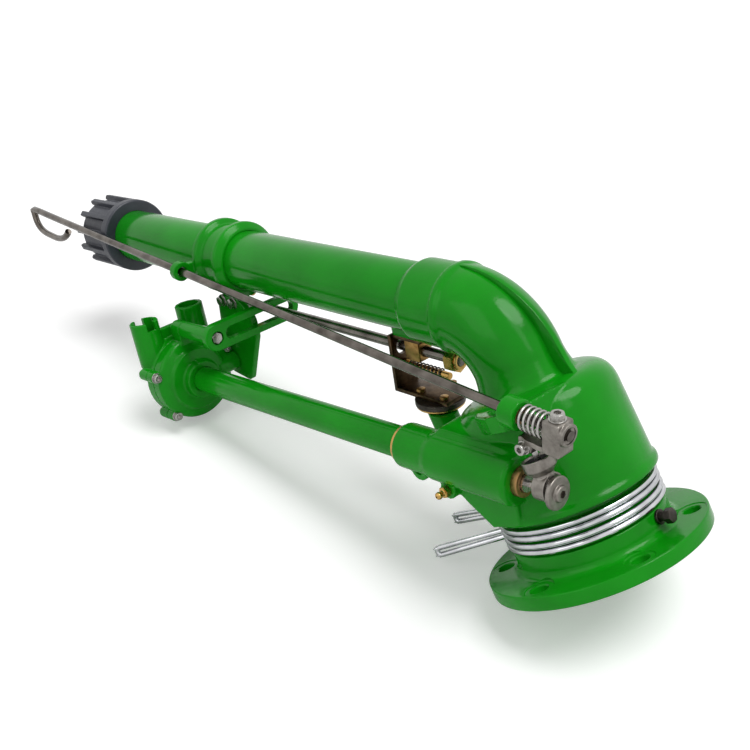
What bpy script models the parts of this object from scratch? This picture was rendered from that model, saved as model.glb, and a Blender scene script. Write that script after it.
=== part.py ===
"""A big rain gun on a bolted flange, turned by a water turbine through a long inclined shaft and a worm.

All sizes are in millimetres and are turned into metres where a mesh is made.
+Z is the swing axis, and the origin is the centre of the flange's bottom face.
The barrel throws along +X and climbs BARREL_ANGLE degrees. The drive shaft runs beside it on the +Y side.
"""
import math

import bmesh
import bpy
from mathutils import Matrix, Vector

MM = 0.001
GAP = 0.3                      # between two solids that touch
RUNNING = 0.3                  # between a shaft and its bush
OVERSHOOT = 2.0                # how far a cutter runs past the face that it opens

# Flange and neck
FLANGE_RADIUS = 92.5
FLANGE_THICKNESS = 12.0
FLANGE_CHAMFER = 1.7
BOLT_RIM_DISTANCE = 14.0       # from the flange's rim in to the bolt circle
BOLT_CIRCLE_RADIUS = FLANGE_RADIUS - BOLT_RIM_DISTANCE
BOLT_COUNT = 6
BOLT_FIRST_ANGLE = 34.0
BOLT_HOLE_RADIUS = 7.0
SPOT_FACE_RADIUS = 12.5
NECK_RADIUS = 64.5
NECK_FOOT_RADIUS = 71.0
NECK_LEDGE_Z = 30.6
SPIGOT_RADIUS = 55.7
SPIGOT_HEIGHT = 11.0
RISER_SEAT_Z = 28.0

# Stop rings: each is one wire bent double, laid round the neck as two strands
RING_WIRE_RADIUS = 2.4
RING_PITCH = 5.4
RING_HANDLE_ANGLES = {"stop_ring_lower": 27.0, "stop_ring_upper": 9.0}
RING_HANDLE_REACH = {"stop_ring_lower": 136.0, "stop_ring_upper": 134.0}
RING_FILLET = 7.0
RING_OPENING_ANGLE = 12.0      # the wire's ends stop this short of the handle
RING_POINTS = 24
RING_CLEARANCE = 0.9           # more than the chord of the faceted wire dips inwards

# Riser, worm wheel and swivel bearings
RISER_BORE = 32.0
RISER_RADIUS = 38.0
RISER_TOP = 147.0
SPACER_RADIUS = 50.0
BEARING_RADIUS = 54.0
BEARING_HEIGHT = 14.0
NUT_RADIUS = 47.0
NUT_HEIGHT = 5.8
SEAL_RADIUS = 45.0
SEAL_HEIGHT = 7.0
BUSH_HEIGHT = 8.0
BEARING_SEAT_Z = 115.7

# Bell
LIP_RADIUS = 71.1
LIP_BOTTOM = 58.4
LIP_HEIGHT = 4.6
BELL_RADIUS = 69.0
BELL_TOP_RADIUS = 66.8
BELL_CAVITY_RADIUS = 62.3
SHOULDER_START = 124.0
SHOULDER_TOP = 151.0
SHOULDER_INNER_RADIUS = 36.0

# Elbow and barrel
BARREL_ANGLE = 24.0
BARREL_AXIS_Z = 208.1
ELBOW_BEND = 61.0
ELBOW_RADIUS = 37.0
ELBOW_FOOT_RADIUS = 43.0
ELBOW_BORE = 27.4
SOCKET_RING_RADIUS = 38.7
SOCKET_RADIUS = 36.2
SOCKET_END = 86.0
SOCKET_CHAMFER = 8.0
RIB_THICKNESS = 5.0
RIB_HEIGHT = 6.5
PIPE_RADIUS = 30.4
PIPE_WALL = 3.0
FRONT_PIPE_RADIUS = 29.5
COLLAR_START = 342.0
COLLAR_END = 385.0
COLLAR_RING_RADIUS = 39.2
COLLAR_RING_WIDTH = 8.0
COLLAR_BAND_RADIUS = 34.0
CAP_START = 566.0
CAP_RIM_LENGTH = 12.0
CAP_RIM_RADIUS = 42.4
CAP_BODY_RADIUS = 36.5
CAP_LENGTH = 42.0
CAP_FIN_LENGTH = 52.0
CAP_FIN_COUNT = 12
CAP_FIN_WIDTH = 6.0
NOZZLE_BORE = 16.0
NOZZLE_LENGTH = 14.0
VANE_COUNT = 4
VANE_LENGTH = 90.0
VANE_THICKNESS = 1.6

# Drive shaft, worm and tube
DRIVE_OFFSET = 70.0            # sideways from the swing axis, so also the worm's centre distance
DRIVE_ANGLE = 21.31
DRIVE_Z = 105.9                # height of the shaft where it passes the swing axis
SHAFT_RADIUS = 7.0
STUB_RADIUS = 3.0
WHEEL_TEETH = 40
WHEEL_WIDTH = 16.0
WORM_PITCH_RADIUS = 12.5
WORM_TIP_RADIUS = 14.8
WORM_ROOT_RADIUS = 10.0
WORM_LENGTH = 28.0
TOOTH_TIP = 1.9
TOOTH_ROOT = 3.3
TUBE_RADIUS = 13.6
TUBE_WALL = 3.0
HOUSING_RADIUS = 20.5
HOUSING_BACK = -27.5
HOUSING_FRONT = 92.0
TUBE_BACK = 45.3
REAR_BUSH_RADIUS = 11.5
REAR_BUSH_BACK = -33.0
FRONT_BUSH_LENGTH = 14.0

# Crank and jet breaker rod
CRANK_THROW = 3.2
ECCENTRIC_RADIUS = 8.5
ECCENTRIC_WIDTH = 14.0
ECCENTRIC_CENTRE = -52.5
STRAP_WALL = 2.8
STRAP_WIDTH = 11.0
CUP_X = -52.0
CUP_RADIUS = 12.5
CUP_BORE = 10.5
CUP_DEPTH = 8.5
CUP_FLOOR_Z = 103.5
CUP_FOOT_RADIUS = 8.0
CUP_FOOT_Z = 99.8
CUP_FOOT_RELIEF = 5.5          # how far the strap's bore runs on under the cup, clear of the shaft
PIN_RADIUS = 2.4
ROD_RADIUS = 4.0
ROD_BACK = (-53.6, 70.0, 144.9)
ROD_EYE = (353.6, 53.5, 364.2)
ROD_TAIL = 45.0                # behind ROD_BACK
ROD_TIP_OVERHANG = 115.5       # how far the loop's tip stands out past the nozzle cap
ROD_REACH = CAP_START + CAP_FIN_LENGTH - (COLLAR_START + COLLAR_END) / 2 + ROD_TIP_OVERHANG
ROD_BOSS_RADIUS = 12.0
ROD_BOSS_LENGTH = 26.0
LOOP_LENGTH = 62.0
LOOP_DEPTH = 31.0
LOOP_LEAN = 38.0               # degrees of the loop's plane from straight down towards the jet
EYE_RADIUS = 10.0
EYE_WIDTH = 9.0
SPRING_WIRE_RADIUS = 1.1
SPRING_RADIUS = 9.0
SPRING_TURNS = 5

# Turbine
TURBINE_BACK = 400.0
TURBINE_SPLIT = 430.0
TURBINE_FRONT = 452.0
TURBINE_RADIUS = 44.5
TURBINE_HUB_RADIUS = 20.0
TURBINE_CAVITY_RADIUS = 37.0
TURBINE_LUG_CIRCLE = 46.5
TURBINE_LUG_RADIUS = 6.2
TURBINE_LUG_ANGLES = (19.5, 160.5, 225.0, 315.0)
RUNNER_RADIUS = 34.0
RUNNER_BLADES = 12
INLET_OFFSET = 28.0
INLET_RADIUS = 15.0
INLET_TOP = 69.0

# Reverser and trip
REVERSER_Y = -9.0
REVERSER_H = -55.5
REVERSER_RADIUS = 5.0
REVERSER_PIVOT_S = 108.0
REVERSER_BACK_S = 56.0
REVERSER_FRONT_S = 408.0
TRIP_POST_X = 114.0
TRIP_POST_RADIUS = 13.0
TRIP_SHAFT_RADIUS = 5.0
TRIP_ROLLER_XY = (124.0, -34.0)
TRIP_ARM_Z = 68.0
TRIP_ARM_THICKNESS = 7.0
ROLLER_RADIUS = 5.0
ROLLER_BOTTOM = 31.0

COLLECTION = "rain_gun"
WELD_DISTANCE = 0.00001        # metres, after each Boolean


# Scene set-up

def clear_scene():
    for item in list(bpy.data.objects):
        bpy.data.objects.remove(item, do_unlink=True)


def collection(name):
    found = bpy.data.collections.get(name)
    if found is None:
        found = bpy.data.collections.new(name)
        bpy.context.scene.collection.children.link(found)
    return found


def material(name, color, roughness, metallic):
    made = bpy.data.materials.get(name)
    if made is None:
        made = bpy.data.materials.new(name)
        made.use_nodes = True
        shader = made.node_tree.nodes["Principled BSDF"]
        shader.inputs["Base Color"].default_value = (*color, 1.0)
        shader.inputs["Roughness"].default_value = roughness
        shader.inputs["Metallic"].default_value = metallic
    return made


def paint():
    return material("green_paint", (0.01, 0.22, 0.01), 0.25, 0.0)


def steel():
    return material("stainless_steel", (0.55, 0.53, 0.50), 0.3, 1.0)


def chrome():
    return material("plated_wire", (0.75, 0.76, 0.78), 0.15, 1.0)


def brass():
    return material("brass", (0.70, 0.45, 0.16), 0.3, 1.0)


def bronze():
    return material("bronze", (0.50, 0.32, 0.15), 0.4, 1.0)


def dark_steel():
    return material("dark_steel", (0.12, 0.11, 0.10), 0.5, 0.8)


def slate_plastic():
    return material("slate_plastic", (0.03, 0.035, 0.05), 0.5, 0.0)


def rubber():
    return material("rubber", (0.02, 0.02, 0.02), 0.8, 0.0)


# Local frames, as matrices in metres

def frame_from(origin, axis_z, axis_y=(0.0, 1.0, 0.0)):
    """A frame with its local Z along axis_z and its local Y as near to axis_y as it can be."""
    z = Vector(axis_z).normalized()
    x = Vector(axis_y).cross(z).normalized()
    y = z.cross(x)
    rotation = Matrix((x, y, z)).transposed().to_4x4()
    return Matrix.Translation(Vector(origin) * MM) @ rotation


def shifted(frame, x=0.0, y=0.0, z=0.0):
    return frame @ Matrix.Translation(Vector((x, y, z)) * MM)


def incline(angle):
    return (math.cos(math.radians(angle)), 0.0, math.sin(math.radians(angle)))


WORLD = Matrix.Identity(4)
BARREL = frame_from((0.0, 0.0, BARREL_AXIS_Z), incline(BARREL_ANGLE))
DRIVE = frame_from((0.0, DRIVE_OFFSET, DRIVE_Z), incline(DRIVE_ANGLE))
ROD_AXIS = (Vector(ROD_EYE) - Vector(ROD_BACK)).normalized()
ROD = frame_from(ROD_BACK, ROD_AXIS)
ROD_SPAN = (Vector(ROD_EYE) - Vector(ROD_BACK)).length


def barrel_point(s, y, h):
    """World millimetres of a point s along the barrel axis, y sideways and h above the axis."""
    point = BARREL @ (Vector((-h, y, s)) * MM)
    return tuple(point / MM)


def drive_point(t, y, m):
    """World millimetres of a point t along the shaft, y sideways from it and m above it."""
    point = DRIVE @ (Vector((-m, y, t)) * MM)
    return tuple(point / MM)


BARREL_UP = (-math.sin(math.radians(BARREL_ANGLE)), 0.0, math.cos(math.radians(BARREL_ANGLE)))


# Shape makers. Each one returns an object placed by its own matrix.

def place(name, data, frame, look, cutter=False):
    item = bpy.data.objects.new(name, data)
    item.matrix_world = frame
    if look is not None:
        data.materials.append(look)
    home = collection("cutters") if cutter else collection(COLLECTION)
    home.objects.link(item)
    if cutter:
        item.hide_render = True
        item.display_type = "WIRE"
    return item


def smooth(item, angle=35.0):
    item.data.shade_smooth()
    item.data.set_sharp_from_angle(angle=math.radians(angle))


def turned(name, profile, frame, look=None, steps=40, cutter=False):
    """A profile of (radius, height) pairs turned about local Z. It runs down its outer side."""
    data = bpy.data.meshes.new(name)
    points = [(r * MM, 0.0, z * MM) for r, z in profile]
    on_axis = profile[0][0] == 0.0
    edges = [(i, i + 1) for i in range(len(points) - 1)]
    if not on_axis:
        edges.append((len(points) - 1, 0))
    data.from_pydata(points, edges, [])
    item = place(name, data, frame, look, cutter)
    screw = item.modifiers.new("turn", "SCREW")
    screw.angle = math.tau
    screw.steps = steps
    screw.render_steps = steps
    screw.use_merge_vertices = True
    screw.merge_threshold = 0.00001
    screw.use_smooth_shade = True
    return item


def ring(name, inner, outer, low, high, frame, look=None, steps=40, cutter=False):
    profile = [(outer, high), (outer, low), (inner, low), (inner, high)]
    return turned(name, profile, frame, look, steps, cutter)


def rod(name, radius, low, high, frame, look=None, sides=24, cutter=False, top_radius=None):
    shape = bmesh.new()
    upper = radius if top_radius is None else top_radius
    bmesh.ops.create_cone(shape, cap_ends=True, segments=sides, radius1=radius * MM,
                          radius2=upper * MM, depth=(high - low) * MM)
    bmesh.ops.translate(shape, verts=shape.verts, vec=(0.0, 0.0, (high + low) / 2 * MM))
    data = bpy.data.meshes.new(name)
    shape.to_mesh(data)
    shape.free()
    item = place(name, data, frame, look, cutter)
    smooth(item)
    return item


def hex_nut(name, bore, radius, low, high, frame, look):
    nut = rod(name, radius, low, high, frame, look, sides=6)
    hole = rod(name + "_bore", bore, low - OVERSHOOT, high + OVERSHOOT, frame, sides=24, cutter=True)
    return combine(nut, hole, "DIFFERENCE")


def block(name, low, high, frame, look=None, bevel=0.0, cutter=False, segments=1):
    """A box between two local corners, with bevelled edges if asked."""
    size = [b - a for a, b in zip(low, high)]
    centre = [(a + b) / 2 for a, b in zip(low, high)]
    shape = bmesh.new()
    bmesh.ops.create_cube(shape, size=1.0)
    bmesh.ops.scale(shape, verts=shape.verts, vec=[s * MM for s in size])
    bmesh.ops.translate(shape, verts=shape.verts, vec=[c * MM for c in centre])
    data = bpy.data.meshes.new(name)
    shape.to_mesh(data)
    shape.free()
    item = place(name, data, frame, look, cutter)
    if bevel:
        soften = item.modifiers.new("edges", "BEVEL")
        soften.width = bevel * MM
        soften.segments = segments
        soften.limit_method = "ANGLE"
    return item


def to_mesh(item, cutter=False):
    """The evaluated object as a plain welded mesh, so that it can be cut or joined."""
    name = item.name
    graph = bpy.context.evaluated_depsgraph_get()
    data = bpy.data.meshes.new_from_object(item.evaluated_get(graph))
    shape = bmesh.new()
    shape.from_mesh(data)
    bmesh.ops.remove_doubles(shape, verts=shape.verts, dist=0.00001)
    bmesh.ops.recalc_face_normals(shape, faces=shape.faces)
    shape.to_mesh(data)
    shape.free()
    frame = item.matrix_world.copy()
    bpy.data.objects.remove(item, do_unlink=True)
    return place(name, data, frame, None, cutter)


def plate(name, outline, low, high, frame, look=None, cutter=False):
    """A flat outline of local (x, y) points, extruded along local Z from low to high."""
    curve = bpy.data.curves.new(name, "CURVE")
    curve.dimensions = "2D"
    curve.fill_mode = "BOTH"
    curve.extrude = (high - low) / 2 * MM
    line = curve.splines.new("POLY")
    line.points.add(len(outline) - 1)
    for point, (x, y) in zip(line.points, outline):
        point.co = (x * MM, y * MM, 0.0, 1.0)
    line.use_cyclic_u = True
    item = place(name, curve, shifted(frame, z=(low + high) / 2), look, cutter)
    bpy.context.view_layer.update()
    return to_mesh(item, cutter)


def wire(name, points, radius, frame, look=None, resolution=2, radii=None, cutter=False):
    """A round wire or tube along local points. radii holds one factor for each point."""
    curve = bpy.data.curves.new(name, "CURVE")
    curve.dimensions = "3D"
    curve.bevel_depth = radius * MM
    curve.bevel_resolution = resolution
    curve.use_fill_caps = True
    line = curve.splines.new("POLY")
    line.points.add(len(points) - 1)
    for index, (point, spot) in enumerate(zip(line.points, points)):
        point.co = (*(Vector(spot) * MM), 1.0)
        point.radius = 1.0 if radii is None else radii[index]
    return place(name, curve, frame, look, cutter)


def arc(centre, radius, start, end, count):
    """count points on a circle from start to end degrees."""
    steps = [start + (end - start) * i / (count - 1) for i in range(count)]
    return [(centre[0] + radius * math.cos(math.radians(a)),
             centre[1] + radius * math.sin(math.radians(a))) for a in steps]


def rounded_bar(half_length, radius, count=9):
    """The outline of a straight bar with round ends, along local X."""
    right = arc((half_length, 0.0), radius, -90.0, 90.0, count)
    left = arc((-half_length, 0.0), radius, 90.0, 270.0, count)
    return right + left


def combine(target, other, operation):
    change = target.modifiers.new(other.name, "BOOLEAN")
    change.operation = operation
    change.solver = "EXACT"
    change.object = other
    weld = target.modifiers.new("weld_" + other.name, "WELD")
    weld.merge_threshold = WELD_DISTANCE
    return target


def join(target, *others):
    for other in others:
        combine(target, other, "UNION")
    return target


def cut(target, *others):
    for other in others:
        combine(target, other, "DIFFERENCE")
    return target


# Base

NECK_SEAT_RADIUS = NECK_RADIUS - 3.3
NECK_TOP = LIP_BOTTOM - 1.4
SPIGOT_TOP = NECK_TOP + SPIGOT_HEIGHT


def base_flange():
    fillet = arc((NECK_FOOT_RADIUS, NECK_FOOT_RADIUS - NECK_RADIUS + FLANGE_THICKNESS),
                 NECK_FOOT_RADIUS - NECK_RADIUS, 180.0, 270.0, 4)
    profile = [(SPIGOT_RADIUS, SPIGOT_TOP), (SPIGOT_RADIUS, NECK_TOP), (NECK_SEAT_RADIUS, NECK_TOP),
               (NECK_SEAT_RADIUS, NECK_LEDGE_Z), (NECK_RADIUS, NECK_LEDGE_Z - 0.8)]
    profile += fillet
    profile += [(FLANGE_RADIUS - FLANGE_CHAMFER, FLANGE_THICKNESS),
                (FLANGE_RADIUS, FLANGE_THICKNESS - FLANGE_CHAMFER), (FLANGE_RADIUS, FLANGE_CHAMFER),
                (FLANGE_RADIUS - FLANGE_CHAMFER, 0.0), (RISER_BORE, 0.0), (RISER_BORE, RISER_SEAT_Z),
                (RISER_RADIUS + GAP, RISER_SEAT_Z), (RISER_RADIUS + GAP, SPIGOT_TOP)]
    item = turned("base_flange", profile, WORLD, paint(), steps=32)
    for index in range(BOLT_COUNT):
        angle = math.radians(BOLT_FIRST_ANGLE + 360.0 / BOLT_COUNT * index)
        spot = shifted(WORLD, BOLT_CIRCLE_RADIUS * math.cos(angle), BOLT_CIRCLE_RADIUS * math.sin(angle))
        hole = rod(f"bolt_hole_{index}", BOLT_HOLE_RADIUS, -OVERSHOOT, FLANGE_THICKNESS + OVERSHOOT,
                   spot, sides=12, cutter=True)
        face = rod(f"spot_face_{index}", SPOT_FACE_RADIUS, FLANGE_THICKNESS - 0.6,
                   NECK_LEDGE_Z + OVERSHOOT, spot, sides=16, cutter=True)
        cut(item, hole, face)
    cut(item, rod("neck_bolt_hole", NECK_BOLT_RADIUS + GAP, NECK_BOLT_INNER - GAP,
                  NECK_RADIUS + OVERSHOOT, neck_bolt_frame(), sides=16, cutter=True))
    return item


NECK_BOLT_RADIUS = 3.6
NECK_BOLT_ANGLE = 187.0
NECK_BOLT_Z = 24.0
NECK_BOLT_INNER = 52.0
NECK_BOLT_HEAD = 6.0


def neck_bolt_frame():
    angle = math.radians(NECK_BOLT_ANGLE)
    return frame_from((0.0, 0.0, NECK_BOLT_Z), (math.cos(angle), math.sin(angle), 0.0), (0.0, 0.0, 1.0))


def neck_bolt():
    profile = [(0.0, NECK_RADIUS + 13.0), (NECK_BOLT_HEAD - 0.8, NECK_RADIUS + 13.0),
               (NECK_BOLT_HEAD, NECK_RADIUS + 12.2), (NECK_BOLT_HEAD, NECK_RADIUS + 7.0),
               (NECK_BOLT_RADIUS, NECK_RADIUS + 7.0), (NECK_BOLT_RADIUS, NECK_BOLT_INNER),
               (0.0, NECK_BOLT_INNER)]
    return turned("neck_bolt", profile, neck_bolt_frame(), dark_steel(), steps=16)


def riser_tube():
    return ring("riser_tube", RISER_BORE, RISER_RADIUS, RISER_SEAT_Z + GAP, RISER_TOP, WORLD, steel(), 32)


WHEEL_BOTTOM = DRIVE_Z - WHEEL_WIDTH / 2


def wheel_spacer():
    return ring("wheel_spacer", RISER_RADIUS + GAP, SPACER_RADIUS, SPIGOT_TOP + GAP, WHEEL_BOTTOM - GAP,
                WORLD, dark_steel(), 32)


def worm_lead_angle():
    """The worm's lead angle in radians, where its normal pitch equals the leaning wheel tooth's."""
    wheel_pitch_radius = DRIVE_OFFSET - WORM_PITCH_RADIUS
    pitch = math.tau * wheel_pitch_radius / WHEEL_TEETH
    lead = math.radians(6.0)
    for _ in range(20):
        lean = math.radians(DRIVE_ANGLE) - lead
        lead = math.asin(pitch * math.cos(lean) / (math.tau * WORM_PITCH_RADIUS))
    return lead


def layered(name, layers, frame, look, bore=None):
    """A solid through layers, each a list of (x, y, z) points, with flat ends. A hand-made loft."""
    shape = bmesh.new()
    rows = [[shape.verts.new(Vector(point) * MM) for point in layer] for layer in layers]
    count = len(layers[0])
    for lower, upper in zip(rows, rows[1:]):
        for i in range(count):
            j = (i + 1) % count
            shape.faces.new((lower[i], lower[j], upper[j], upper[i]))
    shape.faces.new(list(reversed(rows[0])))
    shape.faces.new(rows[-1])
    bmesh.ops.recalc_face_normals(shape, faces=shape.faces)
    data = bpy.data.meshes.new(name)
    shape.to_mesh(data)
    shape.free()
    item = place(name, data, frame, look)
    if bore is not None:
        low = min(point[2] for point in layers[0]) - OVERSHOOT
        high = max(point[2] for point in layers[-1]) + OVERSHOOT
        cut(item, rod(name + "_bore", bore, low, high, frame, sides=36, cutter=True))
    return item


def worm_wheel():
    """Teeth that lean with the worm's thread. A gap, not a tooth, faces +Y at the mesh height."""
    pitch_radius = DRIVE_OFFSET - WORM_PITCH_RADIUS
    tip = pitch_radius + TOOTH_TIP
    root = pitch_radius - TOOTH_ROOT
    lean = math.radians(DRIVE_ANGLE) - worm_lead_angle()
    tooth = 360.0 / WHEEL_TEETH
    shares = ((-0.34, root), (-0.16, tip), (0.16, tip), (0.34, root))
    layers = []
    for height in (-WHEEL_WIDTH / 2, WHEEL_WIDTH / 2):
        twist = math.degrees(height * math.tan(lean) / pitch_radius)
        layer = []
        for index in range(WHEEL_TEETH):
            middle = 90.0 + tooth * (index + 0.5) + twist
            for share, radius in shares:
                angle = math.radians(middle + share * tooth)
                layer.append((radius * math.cos(angle), radius * math.sin(angle), height))
        layers.append(layer)
    return layered("worm_wheel", layers, shifted(WORLD, z=DRIVE_Z), bronze(), bore=RISER_RADIUS + GAP)


def riser_nut():
    low = BEARING_SEAT_Z + BEARING_HEIGHT + 2 * GAP + GAP
    return ring("riser_nut", RISER_RADIUS + GAP, NUT_RADIUS, low, low + NUT_HEIGHT, WORLD, steel(), 32)


# Stop rings

def strand(handle_angle, height, radius):
    """Points of one strand, from its free end round to where it leaves for the handle."""
    start = handle_angle + 360.0 - RING_OPENING_ANGLE
    turn_off = handle_angle + math.degrees(RING_FILLET / radius)
    count = RING_POINTS
    angles = [start + (turn_off - start) * i / (count - 1) for i in range(count)]
    return [(radius * math.cos(math.radians(a)), radius * math.sin(math.radians(a)), height)
            for a in angles]


def stop_ring(name, low_height):
    radius = NECK_SEAT_RADIUS + RING_CLEARANCE + RING_WIRE_RADIUS
    angle = RING_HANDLE_ANGLES[name]
    reach = RING_HANDLE_REACH[name]
    outward = Vector((math.cos(math.radians(angle)), math.sin(math.radians(angle)), 0.0))
    sideways = Vector((-outward.y, outward.x, 0.0))
    high = low_height + RING_PITCH
    bulge = RING_PITCH / 2 + 0.6
    middle = (low_height + high) / 2

    def leg(height):
        corner = outward * (radius + RING_FILLET * 0.35) + sideways * RING_FILLET * 0.35
        out = outward * (radius + RING_FILLET)
        return [(corner.x, corner.y, height), (out.x, out.y, height)]

    bend = []
    for turn in (-90.0, -45.0, 0.0, 45.0, 90.0):
        along = reach - bulge + bulge * math.cos(math.radians(turn))
        spot = outward * along
        bend.append((spot.x, spot.y, middle + bulge * math.sin(math.radians(turn))))
    points = strand(angle, low_height, radius) + leg(low_height) + bend
    points += list(reversed(leg(high))) + list(reversed(strand(angle, high, radius)))
    check_wire_gap(name, points, RING_WIRE_RADIUS, skip=6)
    return wire(name, points, RING_WIRE_RADIUS, WORLD, chrome(), resolution=1)


def check_wire_gap(name, points, radius, skip):
    """Print the least gap of a wire to itself, measured between points that are not neighbours."""
    spots = [Vector(point) for point in points]
    least = min((spots[i] - spots[j]).length for i in range(len(spots))
                for j in range(i + skip, len(spots)))
    print(name, "least gap to itself", round(least - 2 * radius, 2), "mm")


# Gun body casting

def elbow_path(first_z, last_s):
    """Centre line of the elbow: straight up, round the bend, then along the barrel."""
    turn = 90.0 - BARREL_ANGLE
    tangent = ELBOW_BEND * math.tan(math.radians(turn / 2))
    start_z = BARREL_AXIS_Z - tangent
    points = [(0.0, 0.0, first_z)]
    for index in range(1, 9):
        angle = math.radians(turn * index / 8)
        points.append((ELBOW_BEND - ELBOW_BEND * math.cos(angle), 0.0,
                       start_z + ELBOW_BEND * math.sin(angle)))
    points.append(barrel_point(last_s, 0.0, 0.0))
    return points


def bell():
    shoulder = SHOULDER_TOP - SHOULDER_START
    curve = [(SHOULDER_INNER_RADIUS + (BELL_TOP_RADIUS - SHOULDER_INNER_RADIUS)
              * math.sin(math.radians(a)) ** 0.62,
              SHOULDER_START + shoulder * math.cos(math.radians(a)) ** 0.8)
             for a in (0.0, 18.0, 34.0, 50.0, 66.0, 79.0, 90.0)]
    profile = [(0.0, SHOULDER_TOP)] + curve
    profile += [(BELL_RADIUS, LIP_BOTTOM + LIP_HEIGHT + 3.0), (LIP_RADIUS, LIP_BOTTOM + LIP_HEIGHT),
                (LIP_RADIUS, LIP_BOTTOM), (0.0, LIP_BOTTOM)]
    return turned("gun_body", profile, WORLD, paint(), steps=36)


def bell_cavity():
    seat = BEARING_SEAT_Z
    bearing_top = seat + BEARING_HEIGHT + 2 * GAP
    nut_top = bearing_top + NUT_HEIGHT + 2 * GAP
    seal_top = nut_top + SEAL_HEIGHT + 2 * GAP
    profile = [(0.0, RISER_TOP + GAP), (RISER_RADIUS + GAP, RISER_TOP + GAP),
               (RISER_RADIUS + GAP, seal_top), (SEAL_RADIUS + GAP, seal_top),
               (SEAL_RADIUS + GAP, nut_top), (NUT_RADIUS + 2.0, nut_top),
               (NUT_RADIUS + 2.0, bearing_top), (BEARING_RADIUS + GAP, bearing_top),
               (BEARING_RADIUS + GAP, seat), (BELL_CAVITY_RADIUS, seat),
               (BELL_CAVITY_RADIUS, LIP_BOTTOM - OVERSHOOT), (0.0, LIP_BOTTOM - OVERSHOOT)]
    return turned("bell_cavity", profile, WORLD, steps=32, cutter=True)


def elbow_outer():
    path = elbow_path(SHOULDER_TOP - 9.0, 40.0)
    radii = [ELBOW_FOOT_RADIUS / ELBOW_RADIUS] + [1.0] * (len(path) - 1)
    radii[1] = 1.03
    shape = wire("elbow_outer", path, ELBOW_RADIUS, WORLD, resolution=10, radii=radii, cutter=True)
    bpy.context.view_layer.update()
    return to_mesh(shape, cutter=True)


def elbow_inner():
    path = elbow_path(RISER_TOP - 4.0, 47.0)
    count = len(path) - 1
    radii = [RISER_BORE + (ELBOW_BORE - RISER_BORE) * min(1.0, i / 8) for i in range(count + 1)]
    shape = wire("elbow_inner", path, 1.0, WORLD, resolution=6, radii=radii, cutter=True)
    bpy.context.view_layer.update()
    return to_mesh(shape, cutter=True)


def barrel_socket():
    profile = [(0.0, SOCKET_END), (PIPE_RADIUS + 1.6, SOCKET_END),
               (SOCKET_RADIUS, SOCKET_END - SOCKET_CHAMFER), (SOCKET_RADIUS, 42.5), (SOCKET_RING_RADIUS, 41.0), (SOCKET_RING_RADIUS, 36.0),
               (ELBOW_RADIUS, 33.0), (0.0, 33.0)]
    return turned("barrel_socket", profile, BARREL, steps=32, cutter=True)


def back_rib():
    """The thin web over the elbow's back, drawn in the plane of the barrel."""
    centre = (ELBOW_BEND, BARREL_AXIS_Z - ELBOW_BEND * math.tan(math.radians((90.0 - BARREL_ANGLE) / 2)))
    outer = ELBOW_BEND + ELBOW_RADIUS + RIB_HEIGHT
    end = 90.0 + BARREL_ANGLE
    outline = arc(centre, outer, end, 180.0, 11)
    outline += [(centre[0] - outer - 1.0, SHOULDER_TOP - 10.0),
                (centre[0] - outer + 22.0, SHOULDER_TOP - 14.0)]
    outline += arc(centre, outer - 16.0, 178.0, end, 8)
    upright = frame_from((0.0, 0.0, 0.0), (0.0, -1.0, 0.0), (0.0, 0.0, 1.0))
    return plate("back_rib", outline, -RIB_THICKNESS / 2, RIB_THICKNESS / 2, upright, cutter=True)


def rod_boss():
    return rod("rod_boss", ROD_BOSS_RADIUS, -2.0, ROD_BOSS_LENGTH - 2.0, ROD, sides=20, cutter=True)


def boss_shoulder():
    """The flat-topped arm of the casting that carries the rod's boss, seen in plan."""
    outline = [(-56.0, 18.0), (-50.0, 52.0), (-46.0, 67.0), (-38.0, 75.0), (-24.0, 76.0),
               (0.0, 64.0), (22.0, 38.0), (10.0, 10.0)]
    return plate("boss_shoulder", outline, 135.5, 148.5, WORLD, cutter=True)


def worm_bulge():
    return block("worm_bulge", (-24.0, -34.0, HOUSING_BACK + 3.0), (20.0, 4.0, 58.0), DRIVE,
                 bevel=8.0, segments=3, cutter=True)


def side_pad():
    outline = [(50.0, 100.0), (40.0, 84.0), (23.0, 61.0), (-8.0, 61.0), (-15.0, 82.0), (-15.0, 98.0)]
    upright = frame_from((0.0, 0.0, 0.0), (0.0, -1.0, 0.0), (0.0, 0.0, 1.0))
    return plate("side_pad", outline, -PAD_FACE_Y, -40.0, upright, cutter=True)


PAD_FACE_Y = 72.5


def facing_y(x, z):
    """A frame at world x, z with its local Z along +Y."""
    return frame_from((x, 0.0, z), (0.0, 1.0, 0.0), (0.0, 0.0, 1.0))


LUG_XZ = (72.5, 119.2)
GREASE_XZ = (46.0, 99.7)
GREASE_FACE_Y = 81.0
PAD_HOLE_XZ = (4.3, 87.2)


def housing_tube():
    profile = [(0.0, HOUSING_FRONT), (HOUSING_RADIUS - 2.5, HOUSING_FRONT),
               (HOUSING_RADIUS - 1.5, HOUSING_FRONT - 1.2), (HOUSING_RADIUS - 1.5, 60.0),
               (HOUSING_RADIUS, 54.0), (HOUSING_RADIUS, HOUSING_BACK + 2.0),
               (HOUSING_RADIUS - 2.0, HOUSING_BACK), (0.0, HOUSING_BACK)]
    return turned("housing_tube", profile, DRIVE, steps=24, cutter=True)


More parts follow.
